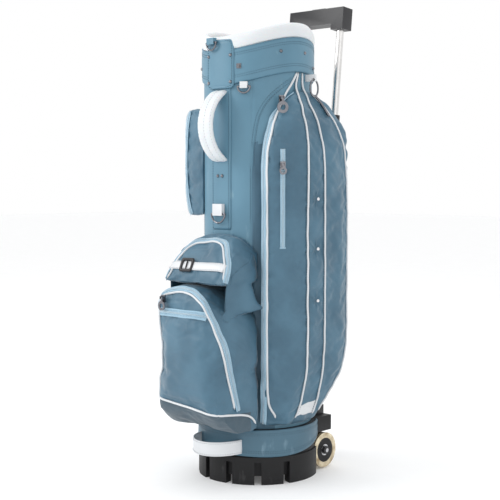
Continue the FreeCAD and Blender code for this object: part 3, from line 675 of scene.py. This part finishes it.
def soft_shell(node, name, held, voxel=0.0052, rise=0.0030, pressure=2.4, shrink=-0.028, cap=0.0052, seed=1,
               buttons=()):
    """A stuffed, sewn copy of a CAD solid. held: seam paths that stay sewn down."""
    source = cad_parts[node].data.copy()
    shell = bpy.data.objects.new(name, source)
    bpy.context.collection.objects.link(shell)
    remesh = shell.modifiers.new("even", "REMESH")
    remesh.mode = "VOXEL"
    remesh.voxel_size = voxel
    round_off = shell.modifiers.new("round", "SMOOTH")
    round_off.factor = 0.5
    round_off.iterations = 7
    deps = bpy.context.evaluated_depsgraph_get()
    even_mesh = bpy.data.meshes.new_from_object(shell.evaluated_get(deps))
    shell.modifiers.clear()
    shell.data = even_mesh
    seam_points = [point for path in held for point in smooth_line(path, 0.004)]
    seam_spots = [tuple(point) for point in seam_points]
    seam_steps = [(index, index + 1, index) for index in range(len(seam_points) - 1)]
    seam_tree = BVHTree.FromPolygons(seam_spots, seam_steps)
    pins = shell.vertex_groups.new(name="sewn")
    rest = []
    loose = []
    normals = [vert.normal.copy() for vert in even_mesh.vertices]
    for vert, normal in zip(even_mesh.vertices, normals):
        radial = math.hypot(vert.co.x, vert.co.y)
        near_tube = radial < TUBE_RADIUS + 0.0045
        gap = seam_tree.find_nearest(vert.co)[3]
        hold = 1.0 if near_tube else max(0.0, 1.0 - gap / SEWN_REACH)
        jitter = 0.0003 * noise.noise(vert.co * 26 + Vector((seed, 0, 0)))
        wave = noise.noise(Vector((vert.co.x * 30, vert.co.y * 30, vert.co.z * 62 + seed)))
        crease = CREASE_DEPTH * math.exp(-((gap - 0.012) / 0.011) ** 2) * wave
        depth = 0.0 if near_tube else rise * (0.55 if gap < 0.004 else 1.0) + jitter + crease
        vert.co -= normal * depth
        pins.add([vert.index], hold, "REPLACE")
        rest.append(vert.co.copy())
        loose.append(1.0 - hold)
    cloth = shell.modifiers.new("nylon", "CLOTH")
    cloth.settings.quality = 5
    cloth.settings.mass = 0.12
    cloth.settings.tension_stiffness = 22
    cloth.settings.compression_stiffness = 22
    cloth.settings.shear_stiffness = 8
    cloth.settings.bending_stiffness = 0.08
    cloth.settings.effector_weights.gravity = 0
    cloth.settings.use_pressure = True
    cloth.settings.uniform_pressure_force = pressure
    cloth.settings.shrink_min = shrink
    cloth.settings.vertex_group_mass = "sewn"
    cloth.settings.pin_stiffness = 4
    cloth.collision_settings.use_collision = False
    cloth.point_cache.frame_start = 1
    cloth.point_cache.frame_end = CLOTH_FRAMES
    for frame_number in range(1, CLOTH_FRAMES + 1):
        bpy.context.scene.frame_set(frame_number)
    deps = bpy.context.evaluated_depsgraph_get()
    blown = bpy.data.meshes.new_from_object(shell.evaluated_get(deps))
    shell.modifiers.clear()
    bpy.context.scene.frame_set(1)
    for vert, start, free in zip(shell.data.vertices, rest, loose):
        move = blown.vertices[vert.index].co - start
        if move.length > cap:
            move *= cap / move.length
        vert.co = start + move * min(1.0, free * 1.6)
    finer = shell.modifiers.new("fine", "SUBSURF")
    finer.levels = 1
    finer.render_levels = 1
    deps = bpy.context.evaluated_depsgraph_get()
    final = bpy.data.meshes.new_from_object(shell.evaluated_get(deps))
    shell.modifiers.clear()
    shell.data = final
    spots = [vert.co.copy() for vert in final.vertices]
    normals = [vert.normal.copy() for vert in final.vertices]
    for vert, spot, normal in zip(final.vertices, spots, normals):
        if math.hypot(spot.x, spot.y) < TUBE_RADIUS + 0.004:
            continue
        gap = seam_tree.find_nearest(spot)[3]
        fold = noise.noise(Vector(((spot.z + gap * 0.9) * 85, gap * 16, seed)))
        depth = FOLD_DEPTH * max(fold, -0.25) * math.exp(-gap / FOLD_REACH) * min(1.0, gap / 0.006)
        for button in buttons:
            away = spot - Vector(button)
            reach = away.length
            if reach < TUFT_REACH:
                turn = math.atan2(away.z, away.y)
                depth += TUFT_DEPTH * math.exp(-(reach / 0.0075) ** 2)
                depth += RAY_DEPTH * math.cos(6 * turn) * math.exp(-((reach - 0.011) / 0.007) ** 2)
        vert.co = spot - normal * depth
    final.materials.clear()
    final.materials.append(NYLON)
    final.polygons.foreach_set("use_smooth", [True] * len(final.polygons))
    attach(shell, "bag")
    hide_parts(node)
    return shell


right_pocket = soft_shell("side_pocket_right", "garment_pocket",
                          [RIGHT_EDGE, RIGHT_FRONT_LINE, RIGHT_REAR_LINE, RIGHT_BACK_EDGE, SHORT_ZIP], seed=3,
                          buttons=TUFTS)
left_pocket = soft_shell("side_pocket_left", "left_pocket", [LEFT_EDGE], seed=7)
ball_pocket = soft_shell("ball_pocket", "ball_pocket_shell", [BALL_ARCH, BALL_LEVEL, BALL_FOOT], seed=11)
upper_pocket = soft_shell("upper_pocket", "upper_pocket_shell", [UPPER_ARCH], voxel=0.0042, seed=17)
ball_pocket.data.materials.append(NYLON_UNDER)
for face in ball_pocket.data.polygons:
    if face.center.y < -0.1165 and face.center.z < 0.1555 - 0.11 * face.center.x:
        face.material_index = 1
for pocket in (right_pocket, left_pocket, ball_pocket, upper_pocket):
    print(pocket.name, len(pocket.data.vertices), "vertices")

# %% [markdown]
# ## Trim helpers
# Zips, piping and stitches all lie on a finished surface. We trace a path on that surface, keep the surface's
# own direction at every step, and build the trim on top. Piping is a cord inside a folded strip, so it is a
# round tube; a zip is a woven tape with a row of coils down the middle; a stitch is a short bead of thread.

# %% Trace, ribbon, piping and stitches


def skin_of(*objects):
    points = []
    polygons = []
    for obj in objects:
        offset = len(points)
        points += [vert.co.copy() for vert in obj.data.vertices]
        polygons += [[offset + index for index in face.vertices] for face in obj.data.polygons]
    return BVHTree.FromPolygons(points, polygons)


def trace(path, skin, step=0.003, relax=4, closed=False):
    """[place, up, along, across] at each step of a path dropped on a skin."""
    line = smooth_line(path, step, closed)
    spots = []
    ups = []
    for point in line:
        spot, up, _, _ = skin.find_nearest(point)
        if up.dot(Vector((point.x, point.y, 0))) < 0:
            up = -up
        spots.append(spot)
        ups.append(up)
    count = len(spots)
    for _ in range(relax):
        smooth_spots = list(spots)
        smooth_ups = list(ups)
        for index in range(0 if closed else 1, count if closed else count - 1):
            after = (index + 1) % count
            smooth_spots[index] = (spots[index - 1] + spots[index] * 2 + spots[after]) / 4
            smooth_ups[index] = (ups[index - 1] + ups[index] + ups[after]).normalized()
        spots = smooth_spots
        ups = smooth_ups
    lane = []
    for index in range(count):
        before = spots[index - 1] if closed or index else spots[index]
        after = spots[(index + 1) % count] if closed or index + 1 < count else spots[index]
        along = (after - before).normalized()
        across = along.cross(ups[index]).normalized()
        lane.append((spots[index], across.cross(along).normalized(), along, across))
    return lane


def beside(lane, skin, shift, relax=4):
    """A second lane on the same skin, a set distance to the side of the first."""
    return trace([spot + across * shift for spot, _, _, across in lane[::3]], skin, relax=relax)


def ribbon(name, lane, width, thick, material, lift=0.0, shift=0.0, dome=0.0, closed=False):
    half = width / 2
    shoulder = min(thick * 0.8, half * 0.4)
    shape = [(-half, -thick), (-half, thick * 0.3), (-half + shoulder, thick), (0, thick + dome),
             (half - shoulder, thick), (half, thick * 0.3), (half, -thick)]
    rows = []
    for spot, up, _, across in lane:
        rows.append([spot + across * (shift + side) + up * (lift + height) for side, height in shape])
    verts, faces = loft(rows, closed)
    return face_outward(new_piece(name, verts, faces, material))


def piping(name, lane, radius, material, lift=0.0, shift=0.0, sides=8, closed=False):
    rows = []
    for number, (spot, up, _, across) in enumerate(lane):
        ends = 1.0 if closed else min(1.0, 0.35 + 0.35 * min(number, len(lane) - 1 - number))
        row = []
        for side in range(sides):
            angle = 2 * math.pi * side / sides
            row.append(spot + across * (shift + radius * ends * math.cos(angle))
                       + up * (lift + radius * ends * math.sin(angle)))
        rows.append(row)
    verts, faces = loft(rows, closed)
    return face_outward(new_piece(name, verts, faces, material))


def beads(name, lane, material, lift, shifts, length=0.0030, pitch=0.0046, thick=0.00055, wide=0.00060,
          turn=0.0):
    """Short rounded beads at an even pitch along a lane: stitches, or the coils of a zip."""
    verts = []
    faces = []
    for shift in shifts:
        travelled = 0.0
        for index in range(1, len(lane)):
            start, up, along, across = lane[index - 1]
            gap = (lane[index][0] - start).length
            while travelled < gap:
                centre = start + along * travelled + across * shift + up * lift
                run = along * math.cos(turn) + across * math.sin(turn)
                side = across * math.cos(turn) - along * math.sin(turn)
                base = len(verts)
                verts.append(centre - run * length / 2 - up * thick * 0.6)
                verts.append(centre + run * length / 2 - up * thick * 0.6)
                for step in (-0.28, 0.28):
                    for corner_side, corner_up in ((-1, -0.5), (-0.6, 0.9), (0.6, 0.9), (1, -0.5)):
                        verts.append(centre + run * length * step + side * wide * corner_side
                                     + up * thick * corner_up)
                for corner in range(4):
                    after = (corner + 1) % 4
                    faces.append((base, base + 2 + corner, base + 2 + after))
                    faces.append((base + 1, base + 6 + after, base + 6 + corner))
                    faces.append((base + 2 + corner, base + 6 + corner, base + 6 + after, base + 2 + after))
                travelled += pitch
            travelled -= gap
    return face_outward(new_piece(name, verts, faces, material))


def zipper(name, lane, width=0.0115, lift=0.0004, shift=0.0):
    """A tape with a double row of coils, and stitching along both edges of the tape."""
    ribbon(name + "_tape", lane, width, 0.0007, TAPE, lift=lift, shift=shift)
    beads(name + "_coil", lane, COIL, lift + 0.0013, (shift - 0.0009, shift + 0.0009), 0.0026, 0.0015,
          0.0006, 0.00045, turn=math.pi / 2)
    beads(name + "_stitch", lane, COIL, lift + 0.0008, (shift - width * 0.40, shift + width * 0.40), 0.0026,
          0.0042, 0.0003, 0.0003)


pocket_skin = skin_of(right_pocket, left_pocket, ball_pocket, upper_pocket)
right_skin = skin_of(right_pocket)
ball_skin = skin_of(ball_pocket)
upper_skin = skin_of(upper_pocket)
left_skin = skin_of(left_pocket)
tube_skin = skin_of(body_skin)
print("trim helpers ready")

# %% [markdown]
# ## Zips and piping
# The tall pocket opens along its front edge with the longest zip, and white piping follows it on the outer
# side. Two more cords frame the tufted stripe down the middle, and a last one closes the back edge.

# %% Tall pocket trim
edge_lane = trace(RIGHT_EDGE, right_skin, relax=24)
zipper("garment_zip", edge_lane, 0.0125, lift=0.0012)
long_skin = skin_of(right_pocket, body_skin)
edge_cord_lane = trace(RIGHT_EDGE_CORD, long_skin, relax=10)
piping("garment_zip_cord", edge_cord_lane, 0.0022, WHITE, lift=0.0012)
for name, path in (("stripe_cord_front", RIGHT_FRONT_LINE), ("stripe_cord_rear", RIGHT_REAR_LINE)):
    lane = trace(path, long_skin, relax=8)
    piping(name, lane, 0.0020, WHITE, lift=0.0009)
    beads(name + "_stitch", lane, THREAD, 0.0007, (-0.0036, 0.0036))
piping("back_cord", trace(RIGHT_BACK_EDGE, right_skin), 0.0018, WHITE, lift=0.0008)

short_lane = trace(SHORT_ZIP, right_skin)
zipper("short_zip", short_lane, 0.0090)
END_STITCH = [(0.1195, -0.0730, 0.4465), (0.1275, -0.0645, 0.4465)]
ribbon("short_zip_end", trace(END_STITCH, right_skin, 0.002), 0.003, 0.0008, TAPE, lift=0.0012)
print("tall pocket trim done")

# %% [markdown]
# The ball pocket has a wide zip in an arch with a cord outside it, a short level zip between two welts for
# small things, and a cord round its foot where the upper cloth meets the darker underside.

# %% Ball pocket trim
arch_lane = trace(BALL_ARCH, ball_skin, relax=10)
zipper("ball_zip", arch_lane, 0.0110)
cord_lane = beside(arch_lane, ball_skin, 0.0078, 8)
piping("ball_zip_cord", cord_lane, 0.0021, WHITE, lift=0.0012)
level_lane = trace(BALL_LEVEL, ball_skin)
zipper("ball_level_zip", level_lane, 0.0090)
for shift in (-0.0058, 0.0058):
    side_name = "upper" if shift > 0 else "lower"
    ribbon("ball_level_welt_" + side_name, level_lane, 0.0036, 0.0011, TAPE, lift=0.0010, shift=shift)
foot_lane = trace(BALL_FOOT, ball_skin, relax=8)
piping("ball_foot_cord", foot_lane, 0.0021, WHITE, lift=0.0018)
print("ball pocket trim done")

# %% [markdown]
# The side of the front pockets is one gusset: the same nylon runs from the ball pocket up past the upper
# one, and covers the fold between them. A sheet is stretched between two lines on the pockets and relaxed.

# %% Side gussets
for side, side_name in ((1, "right"), (-1, "left")):
    foot = smooth_line([(side * 0.058, -0.0885, 0.345), (side * 0.0870, -0.1050, 0.338),
                        (side * 0.0890, -0.135, 0.332), (side * 0.0885, -0.172, 0.322)], 0.004)
    head = smooth_line([(side * 0.052, -0.0920, 0.440), (side * 0.0790, -0.1080, 0.425),
                        (side * 0.0800, -0.130, 0.415), (side * 0.0790, -0.160, 0.398)], 0.004)
    columns = 24
    lines = 30
    clearance = 0.0009
    sheet = []
    for line in range(lines + 1):
        for column in range(columns + 1):
            low = foot[round(column * (len(foot) - 1) / columns)]
            high = head[round(column * (len(head) - 1) / columns)]
            spot, up, _, _ = pocket_skin.find_nearest(low.lerp(high, line / lines))
            rim = line in (0, lines) or column in (0, columns)
            sheet.append(spot + up * (-0.0006 if rim else 0.0012))
    for _ in range(30):
        eased = list(sheet)
        for line in range(1, lines):
            for column in range(1, columns):
                here = line * (columns + 1) + column
                middle = (sheet[here - 1] + sheet[here + 1] + sheet[here - columns - 1]
                          + sheet[here + columns + 1]) / 4
                spot, up, _, _ = pocket_skin.find_nearest(middle)
                deep = (middle - spot).dot(up)
                eased[here] = middle if deep > clearance else spot + up * clearance
        sheet = eased
    sheet = [spot + Vector((side * 0.0006 * noise.noise(Vector((spot.y * 40, spot.z * 110, 3))), 0, 0))
             for spot in sheet]
    wide = columns + 1
    faces = [(line * wide + column, line * wide + column + 1, (line + 1) * wide + column + 1,
              (line + 1) * wide + column) for line in range(lines) for column in range(columns)]
    gusset = new_piece("gusset_" + side_name, sheet, faces, NYLON)
    thicken = gusset.modifiers.new("thickness", "SOLIDIFY")
    thicken.thickness = 0.0007
    thicken.offset = 0
print("side gussets done")

# %% [markdown]
# The upper and left pockets repeat the same pair, a zip with a cord beside it, in smaller sizes.

# %% Upper and left pocket trim
upper_lane = trace(UPPER_ARCH, upper_skin, relax=8)
zipper("upper_zip", upper_lane, 0.0100)
piping("upper_zip_cord", beside(upper_lane, upper_skin, 0.0074, 8), 0.0020, WHITE, lift=0.0012)
left_lane = trace(LEFT_EDGE, left_skin, relax=10)
zipper("left_zip", left_lane, 0.0110)
piping("left_zip_cord", beside(left_lane, left_skin, -0.0080, 8), 0.0020, WHITE, lift=0.0012)
print("upper and left pocket trim done")

# %% [markdown]
# ## Spine, patch, handle and straps
# The spine is a second layer of leather down the front that carries the handle and the strap ring. Its edges
# are turned under, so the sheet is thickest just inside the edge. The carry handle is foam inside white
# leather, stitched down the middle so the hand feels a flat seam instead of a round tube.

# %% Curved patches


def curved_patch(name, half, low, high, inner, outer, corner, material, lift=None, heading=-90.0,
                 columns=28, lines=60):
    """A sewn-on piece of leather with rounded corners and soft edges, bent round the tube."""
    verts = []
    tall = high - low
    for line in range(lines + 1):
        v = line / lines
        edge_v = min(v, 1 - v) * tall
        pull = corner - math.sqrt(max(corner ** 2 - (corner - edge_v) ** 2, 0)) if edge_v < corner else 0.0
        for column in range(columns + 1):
            u = 2 * column / columns - 1
            across = u * (half - pull)
            edge = min(half - pull - abs(across), edge_v)
            rise = min(1.0, math.sqrt(max(edge, 0) / 0.0016))
            bead = 0.0004 * math.exp(-((edge - 0.0045) / 0.0012) ** 2)
            radius = inner + (outer - inner) * (0.25 + 0.75 * rise) - bead
            angle = math.radians(heading) + across / inner
            height = low + tall * v
            if lift:
                height += lift(TUBE_RADIUS * math.cos(angle))
            verts.append(Vector((radius * math.cos(angle), radius * math.sin(angle), height)))
    count = len(verts)
    for vert in verts[:count]:
        out = math.hypot(vert.x, vert.y)
        under = inner - 0.0002
        verts.append(Vector((vert.x * under / out, vert.y * under / out, vert.z)))
    faces = []
    wide = columns + 1
    for line in range(lines):
        for column in range(columns):
            corner_at = line * wide + column
            faces.append((corner_at, corner_at + 1, corner_at + wide + 1, corner_at + wide))
            faces.append(tuple(count + index for index in (corner_at, corner_at + wide, corner_at + wide + 1,
                                                           corner_at + 1)))
    rim = list(range(wide)) + [line * wide + columns for line in range(1, lines + 1)]
    rim += [lines * wide + column for column in range(columns - 1, -1, -1)]
    rim += [line * wide for line in range(lines - 1, 0, -1)]
    for index, corner_at in enumerate(rim):
        after = rim[(index + 1) % len(rim)]
        faces.append((corner_at, count + corner_at, count + after, after))
    return face_outward(new_piece(name, verts, faces, material))


spine = curved_patch("spine_leather", 0.0240, 0.478, 0.7455, 0.1041, 0.1065, 0.002, LEATHER)
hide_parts("spine_strip")
patch = curved_patch("cuff_patch_leather", 0.0340, 0.741, 0.832, 0.1085, 0.1110, 0.010, LEATHER)
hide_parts("cuff_patch")


def round_tube(points, radius, heading=-90.0):
    """(across, height) points bent round the tube at a heading."""
    bent = []
    for across, height in points:
        angle = math.radians(heading) + across / radius
        bent.append((radius * math.cos(angle), radius * math.sin(angle), height))
    return bent


sewn_skin = skin_of(spine, patch)
for side in (-1, 1):
    rail = round_tube([(side * 0.0205, 0.482), (side * 0.0205, 0.600), (side * 0.0205, 0.738)], 0.107)
    beads("spine_stitch_" + ("left" if side < 0 else "right"), trace(rail, sewn_skin), THREAD, 0.0002, (0.0,))
frame_line = round_tube([(-0.0225, 0.744), (0.0225, 0.744), (0.0300, 0.752), (0.0305, 0.785), (0.0300, 0.821),
                         (0.0225, 0.829), (-0.0225, 0.829), (-0.0300, 0.821), (-0.0305, 0.785),
                         (-0.0300, 0.752)], 0.111)
beads("patch_stitch", trace(frame_line, sewn_skin, closed=True), THREAD, 0.0002, (0.0,))
print("spine and cuff patch done")

# %% [markdown]
# The carry handle bows out from the spine. Its ends are pinched flat where they are sewn in, so both the
# thickness and the width grow over the first few degrees of the bow.

# %% Carry handle
HANDLE_Y = -0.075
HANDLE_Z = 0.672
HANDLE_HALF_TURN = 66
HANDLE_STEPS = 96
HANDLE_OUTLINE = [(0.0, 0.80), (0.10, 0.86), (0.45, 1.0), (0.78, 0.78), (0.93, 0.50), (1.0, 0.05),
                  (0.93, -0.45), (0.70, -0.80), (0.3, -0.95), (0.0, -1.0), (-0.3, -0.95), (-0.70, -0.80),
                  (-0.93, -0.45), (-1.0, 0.05), (-0.93, 0.50), (-0.78, 0.78), (-0.45, 1.0), (-0.10, 0.86)]
rows = []
crown = []
for number in range(HANDLE_STEPS + 1):
    turn = math.radians(-HANDLE_HALF_TURN + 2 * HANDLE_HALF_TURN * number / HANDLE_STEPS)
    end = min(1.0, (HANDLE_HALF_TURN - abs(math.degrees(turn))) / 9)
    thick = 0.0022 + 0.0036 * math.sqrt(max(end, 0))
    reach = 0.0702 + 0.0005 * noise.noise(Vector((number * 0.35, 2, 0)))
    half = 0.0170 + 0.0016 * end + 0.0006 * noise.noise(Vector((number * 0.5, 0, 5)))
    out = Vector((0, -math.cos(turn), math.sin(turn)))
    centre = Vector((0, HANDLE_Y, HANDLE_Z)) + out * reach
    row = []
    for side, height in HANDLE_OUTLINE:
        row.append(centre + Vector((side * half, 0, 0)) + out * height * thick)
    rows.append(row)
    if 4 < number < HANDLE_STEPS - 4:
        along = Vector((0, math.sin(turn), math.cos(turn)))
        crown.append((centre + out * thick * 0.8, out, along, Vector((1, 0, 0))))
verts, faces = loft(rows, False)
handle = face_outward(new_piece("carry_handle_pad", verts, faces, PADDING))
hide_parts("carry_handle")
beads("handle_stitch", crown, THREAD_PALE, 0.0001, (0.0,), 0.0034, 0.0056)
beads("handle_edge_stitch", crown, THREAD_PALE, -0.0006, (-0.0148, 0.0148), 0.0030, 0.0056)
print("carry handle", len(handle.data.polygons), "faces")

# %% [markdown]
# The base strap is a loop of white webbing leather to lift the foot of the bag with, and the glove strap
# crosses the upper pocket under a black plastic buckle.

# %% Straps and buckle
STRAP_OUTLINE = [(-1, -0.6), (-1.0, 0.6), (-0.86, 1.0), (-0.78, 0.8), (0, 1.0), (0.78, 0.8), (0.86, 1.0),
                 (1.0, 0.6), (1.0, -0.6), (0.86, -1.0), (0, -0.9), (-0.86, -1.0)]
STRAP_HALF_WIDTH = 0.0132
STRAP_HALF_THICK = 0.0015
low_corner, high_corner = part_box("base_grab_strap")
rows = []
strap_lane = []
for number in range(73):
    turn = math.radians(180 + 180 * number / 72)
    out = Vector((math.cos(turn), math.sin(turn), 0))
    centre = Vector((0, -0.104, 0)) + out * 0.0525
    droop = 0.0012 * math.cos(2 * turn)
    middle = 0.5 * (low_corner.z + high_corner.z) + droop
    row = []
    for height, depth in STRAP_OUTLINE:
        level = Vector((0, 0, middle + height * STRAP_HALF_WIDTH))
        row.append(centre + out * depth * STRAP_HALF_THICK + level)
    rows.append(row)
    along = Vector((-math.sin(turn), math.cos(turn), 0))
    strap_lane.append((centre + out * 0.0013 + Vector((0, 0, middle)), out, along, Vector((0, 0, 1))))
verts, faces = loft(rows, False)
base_strap = face_outward(new_piece("base_strap_webbing", verts, faces, WHITE))
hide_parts("base_grab_strap")
beads("base_strap_stitch", strap_lane, THREAD_PALE, 0.0002, (-0.0103, 0.0103))

GLOVE_LINE = [(-0.0760, -0.168, 0.4150), (-0.0500, -0.174, 0.4160), (0.0, -0.176, 0.4165),
              (0.0400, -0.174, 0.4160), (0.0680, -0.170, 0.4150)]
glove_lane = trace(GLOVE_LINE, upper_skin, relax=10)
glove = ribbon("glove_strap_leather", glove_lane, 0.0165, 0.0011, WHITE, lift=0.0018)
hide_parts("glove_strap")
beads("glove_strap_stitch", glove_lane, THREAD_PALE, 0.0029, (-0.0066, 0.0066))

BUCKLE_RINGS = [(0.0150, 0.0128, 0.0020), (0.0160, 0.0138, 0.0035), (0.0150, 0.0128, 0.0058),
                (0.0118, 0.0094, 0.0058), (0.0108, 0.0084, 0.0045), (0.0112, 0.0088, 0.0020)]
BUCKLE_CORNER = 0.004
CORNER_STEPS = 6
seat = min(glove_lane, key=lambda step: abs(step[0].x + 0.024))
spot, up, along, across = seat
verts = []
for wide_half, tall_half, height in BUCKLE_RINGS:
    for corner_x, corner_y in ((1, 1), (-1, 1), (-1, -1), (1, -1)):
        for step in range(CORNER_STEPS):
            angle = math.atan2(corner_y, corner_x) - math.pi / 4 + math.pi / 2 * step / (CORNER_STEPS - 1)
            x = corner_x * (wide_half - BUCKLE_CORNER) + BUCKLE_CORNER * math.cos(angle)
            y = corner_y * (tall_half - BUCKLE_CORNER) + BUCKLE_CORNER * math.sin(angle)
            verts.append(spot + along * x + across * y + up * height)
around = 4 * CORNER_STEPS
rows = [verts[start:start + around] for start in range(0, len(verts), around)]
verts, faces = loft(rows, True)
buckle = face_outward(new_piece("glove_buckle_frame", verts, faces, PLASTIC))
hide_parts("glove_buckle")
BAR_REACHES = (-0.0100, -0.003, 0.003, 0.0100)
bar_lane = [(spot + across * reach, up, across, along) for reach in BAR_REACHES]
piping("glove_buckle_bar", bar_lane, 0.0019, PLASTIC, lift=0.0046)
print("straps and buckle done")

# %% [markdown]
# ## Seams that show
# Thread is what the eye checks first on a sewn bag. A double row runs along both edges of the cuff and of
# the skirt, one row on each side of the body seams, and a curved seam closes the gusset beside the long zip.

# %% Stitch rows


def hoop(radius, height, lift=saddle, start=0, end=360, count=48):
    steps = count + (end - start < 360)
    turns = [math.radians(start + (end - start) * number / count) for number in range(steps)]
    return [(radius * math.cos(turn), radius * math.sin(turn), height + lift(TUBE_RADIUS * math.cos(turn)))
            for turn in turns]


cuff_skin = skin_of(cuff_band)
skirt_skin = skin_of(skirt)
for name, level in (("cuff_low_stitch", CUFF_LOW + 0.0085), ("cuff_high_stitch", CUFF_HIGH - 0.0090)):
    lane = trace(hoop(0.110, level), cuff_skin, closed=True)
    beads(name, lane, THREAD, 0.0001, (-0.0019, 0.0019))
cuff_cord = trace(hoop(0.1082, CUFF_HIGH + 0.0008), cuff_skin, closed=True)
piping("cuff_edge_cord", cuff_cord, 0.0011, LEATHER, lift=0.0002, closed=True)
STITCH_RADIUS = 0.1185
upper_row = []
lower_row = []
for number in range(145, 397, 6):
    turn = math.radians(number)
    x = STITCH_RADIUS * math.cos(turn)
    y = STITCH_RADIUS * math.sin(turn)
    upper_row.append((x, y, BASE_TOP - 0.0085))
    lower_row.append((x, y, skirt_low(turn) + 0.0085))
beads("skirt_high_stitch", trace(upper_row, skirt_skin), THREAD, 0.0001, (-0.0018, 0.0018))
beads("skirt_low_stitch", trace(lower_row, skirt_skin), THREAD, 0.0001, (-0.0018, 0.0018))

for heading, low, high in ((-54.0, 0.150, 0.590), (-78.5, 0.480, 0.738), (-132.0, 0.150, 0.735)):
    seam = round_tube([(0, low), (0, 0.5 * (low + high)), (0, high)], TUBE_RADIUS, heading)
    beads(f"body_stitch_{round(-heading)}", trace(seam, tube_skin), THREAD, 0.0001, (-0.0032, 0.0032))
GUSSET = [(0.061, -0.084, 0.590), (0.063, -0.083, 0.640), (0.070, -0.077, 0.690), (0.083, -0.063, 0.722),
          (0.096, -0.040, 0.745), (0.102, -0.018, 0.760)]
gusset_lane = trace(GUSSET, tube_skin)
piping("gusset_cord", gusset_lane, 0.0010, LEATHER, lift=0.0001)
beads("gusset_stitch", gusset_lane, THREAD, 0.0001, (-0.0032, 0.0032))
print("stitch rows done")

# %% [markdown]
# Each tuft button pulls the cloth into six short folds. A white patch guards the bottom corner of the tall
# pocket against the ground, and a dark rod hangs behind its top edge.

# %% Tufts, corner patch and hook
FOLD_REACHES = (0.0045, 0.009, 0.0155)
for number, (x, y, z) in enumerate(TUFTS):
    for ray in range(6):
        turn = math.radians(30 + 60 * ray)
        path = [(x, y + math.cos(turn) * reach, z + math.sin(turn) * reach) for reach in FOLD_REACHES]
        lane = trace(path, right_skin, 0.002, relax=1)
        piping(f"tuft_fold_{number}_{ray}", lane, 0.0009, NYLON, lift=-0.0001)
PATCH_COLUMNS = 14
PATCH_LINES = 12
verts = []
for line in range(PATCH_LINES + 1):
    for column in range(PATCH_COLUMNS + 1):
        u = column / PATCH_COLUMNS
        v = line / PATCH_LINES
        height = 0.1225 + (0.0200 + 0.0090 * u) * v
        target = Vector((0.126 + 0.45 * (height - 0.122), -0.0228 + 0.0445 * u, height))
        spot, up, _, _ = right_skin.find_nearest(target)
        edge = min(u, 1 - u, v, 1 - v)
        verts.append(spot + up * (0.0011 if edge > 0.02 else 0.0002))
wide = PATCH_COLUMNS + 1
faces = [(line * wide + column, line * wide + column + 1, line * wide + column + wide + 1,
          line * wide + column + wide) for line in range(PATCH_LINES) for column in range(PATCH_COLUMNS)]
corner_patch = new_piece("corner_patch", verts, faces, WHITE)
thicken = corner_patch.modifiers.new("thickness", "SOLIDIFY")
thicken.thickness = 0.0010
thicken.offset = -1
HOOK = [(0.1200, 0.0310, 0.7330), (0.1240, 0.0390, 0.7230), (0.1290, 0.0470, 0.7080),
        (0.1330, 0.0540, 0.6920)]
piping("rear_hook", trace(HOOK, right_skin, 0.002), 0.0022, GUNMETAL, lift=0.0030)
print("tufts, corner patch and hook done")
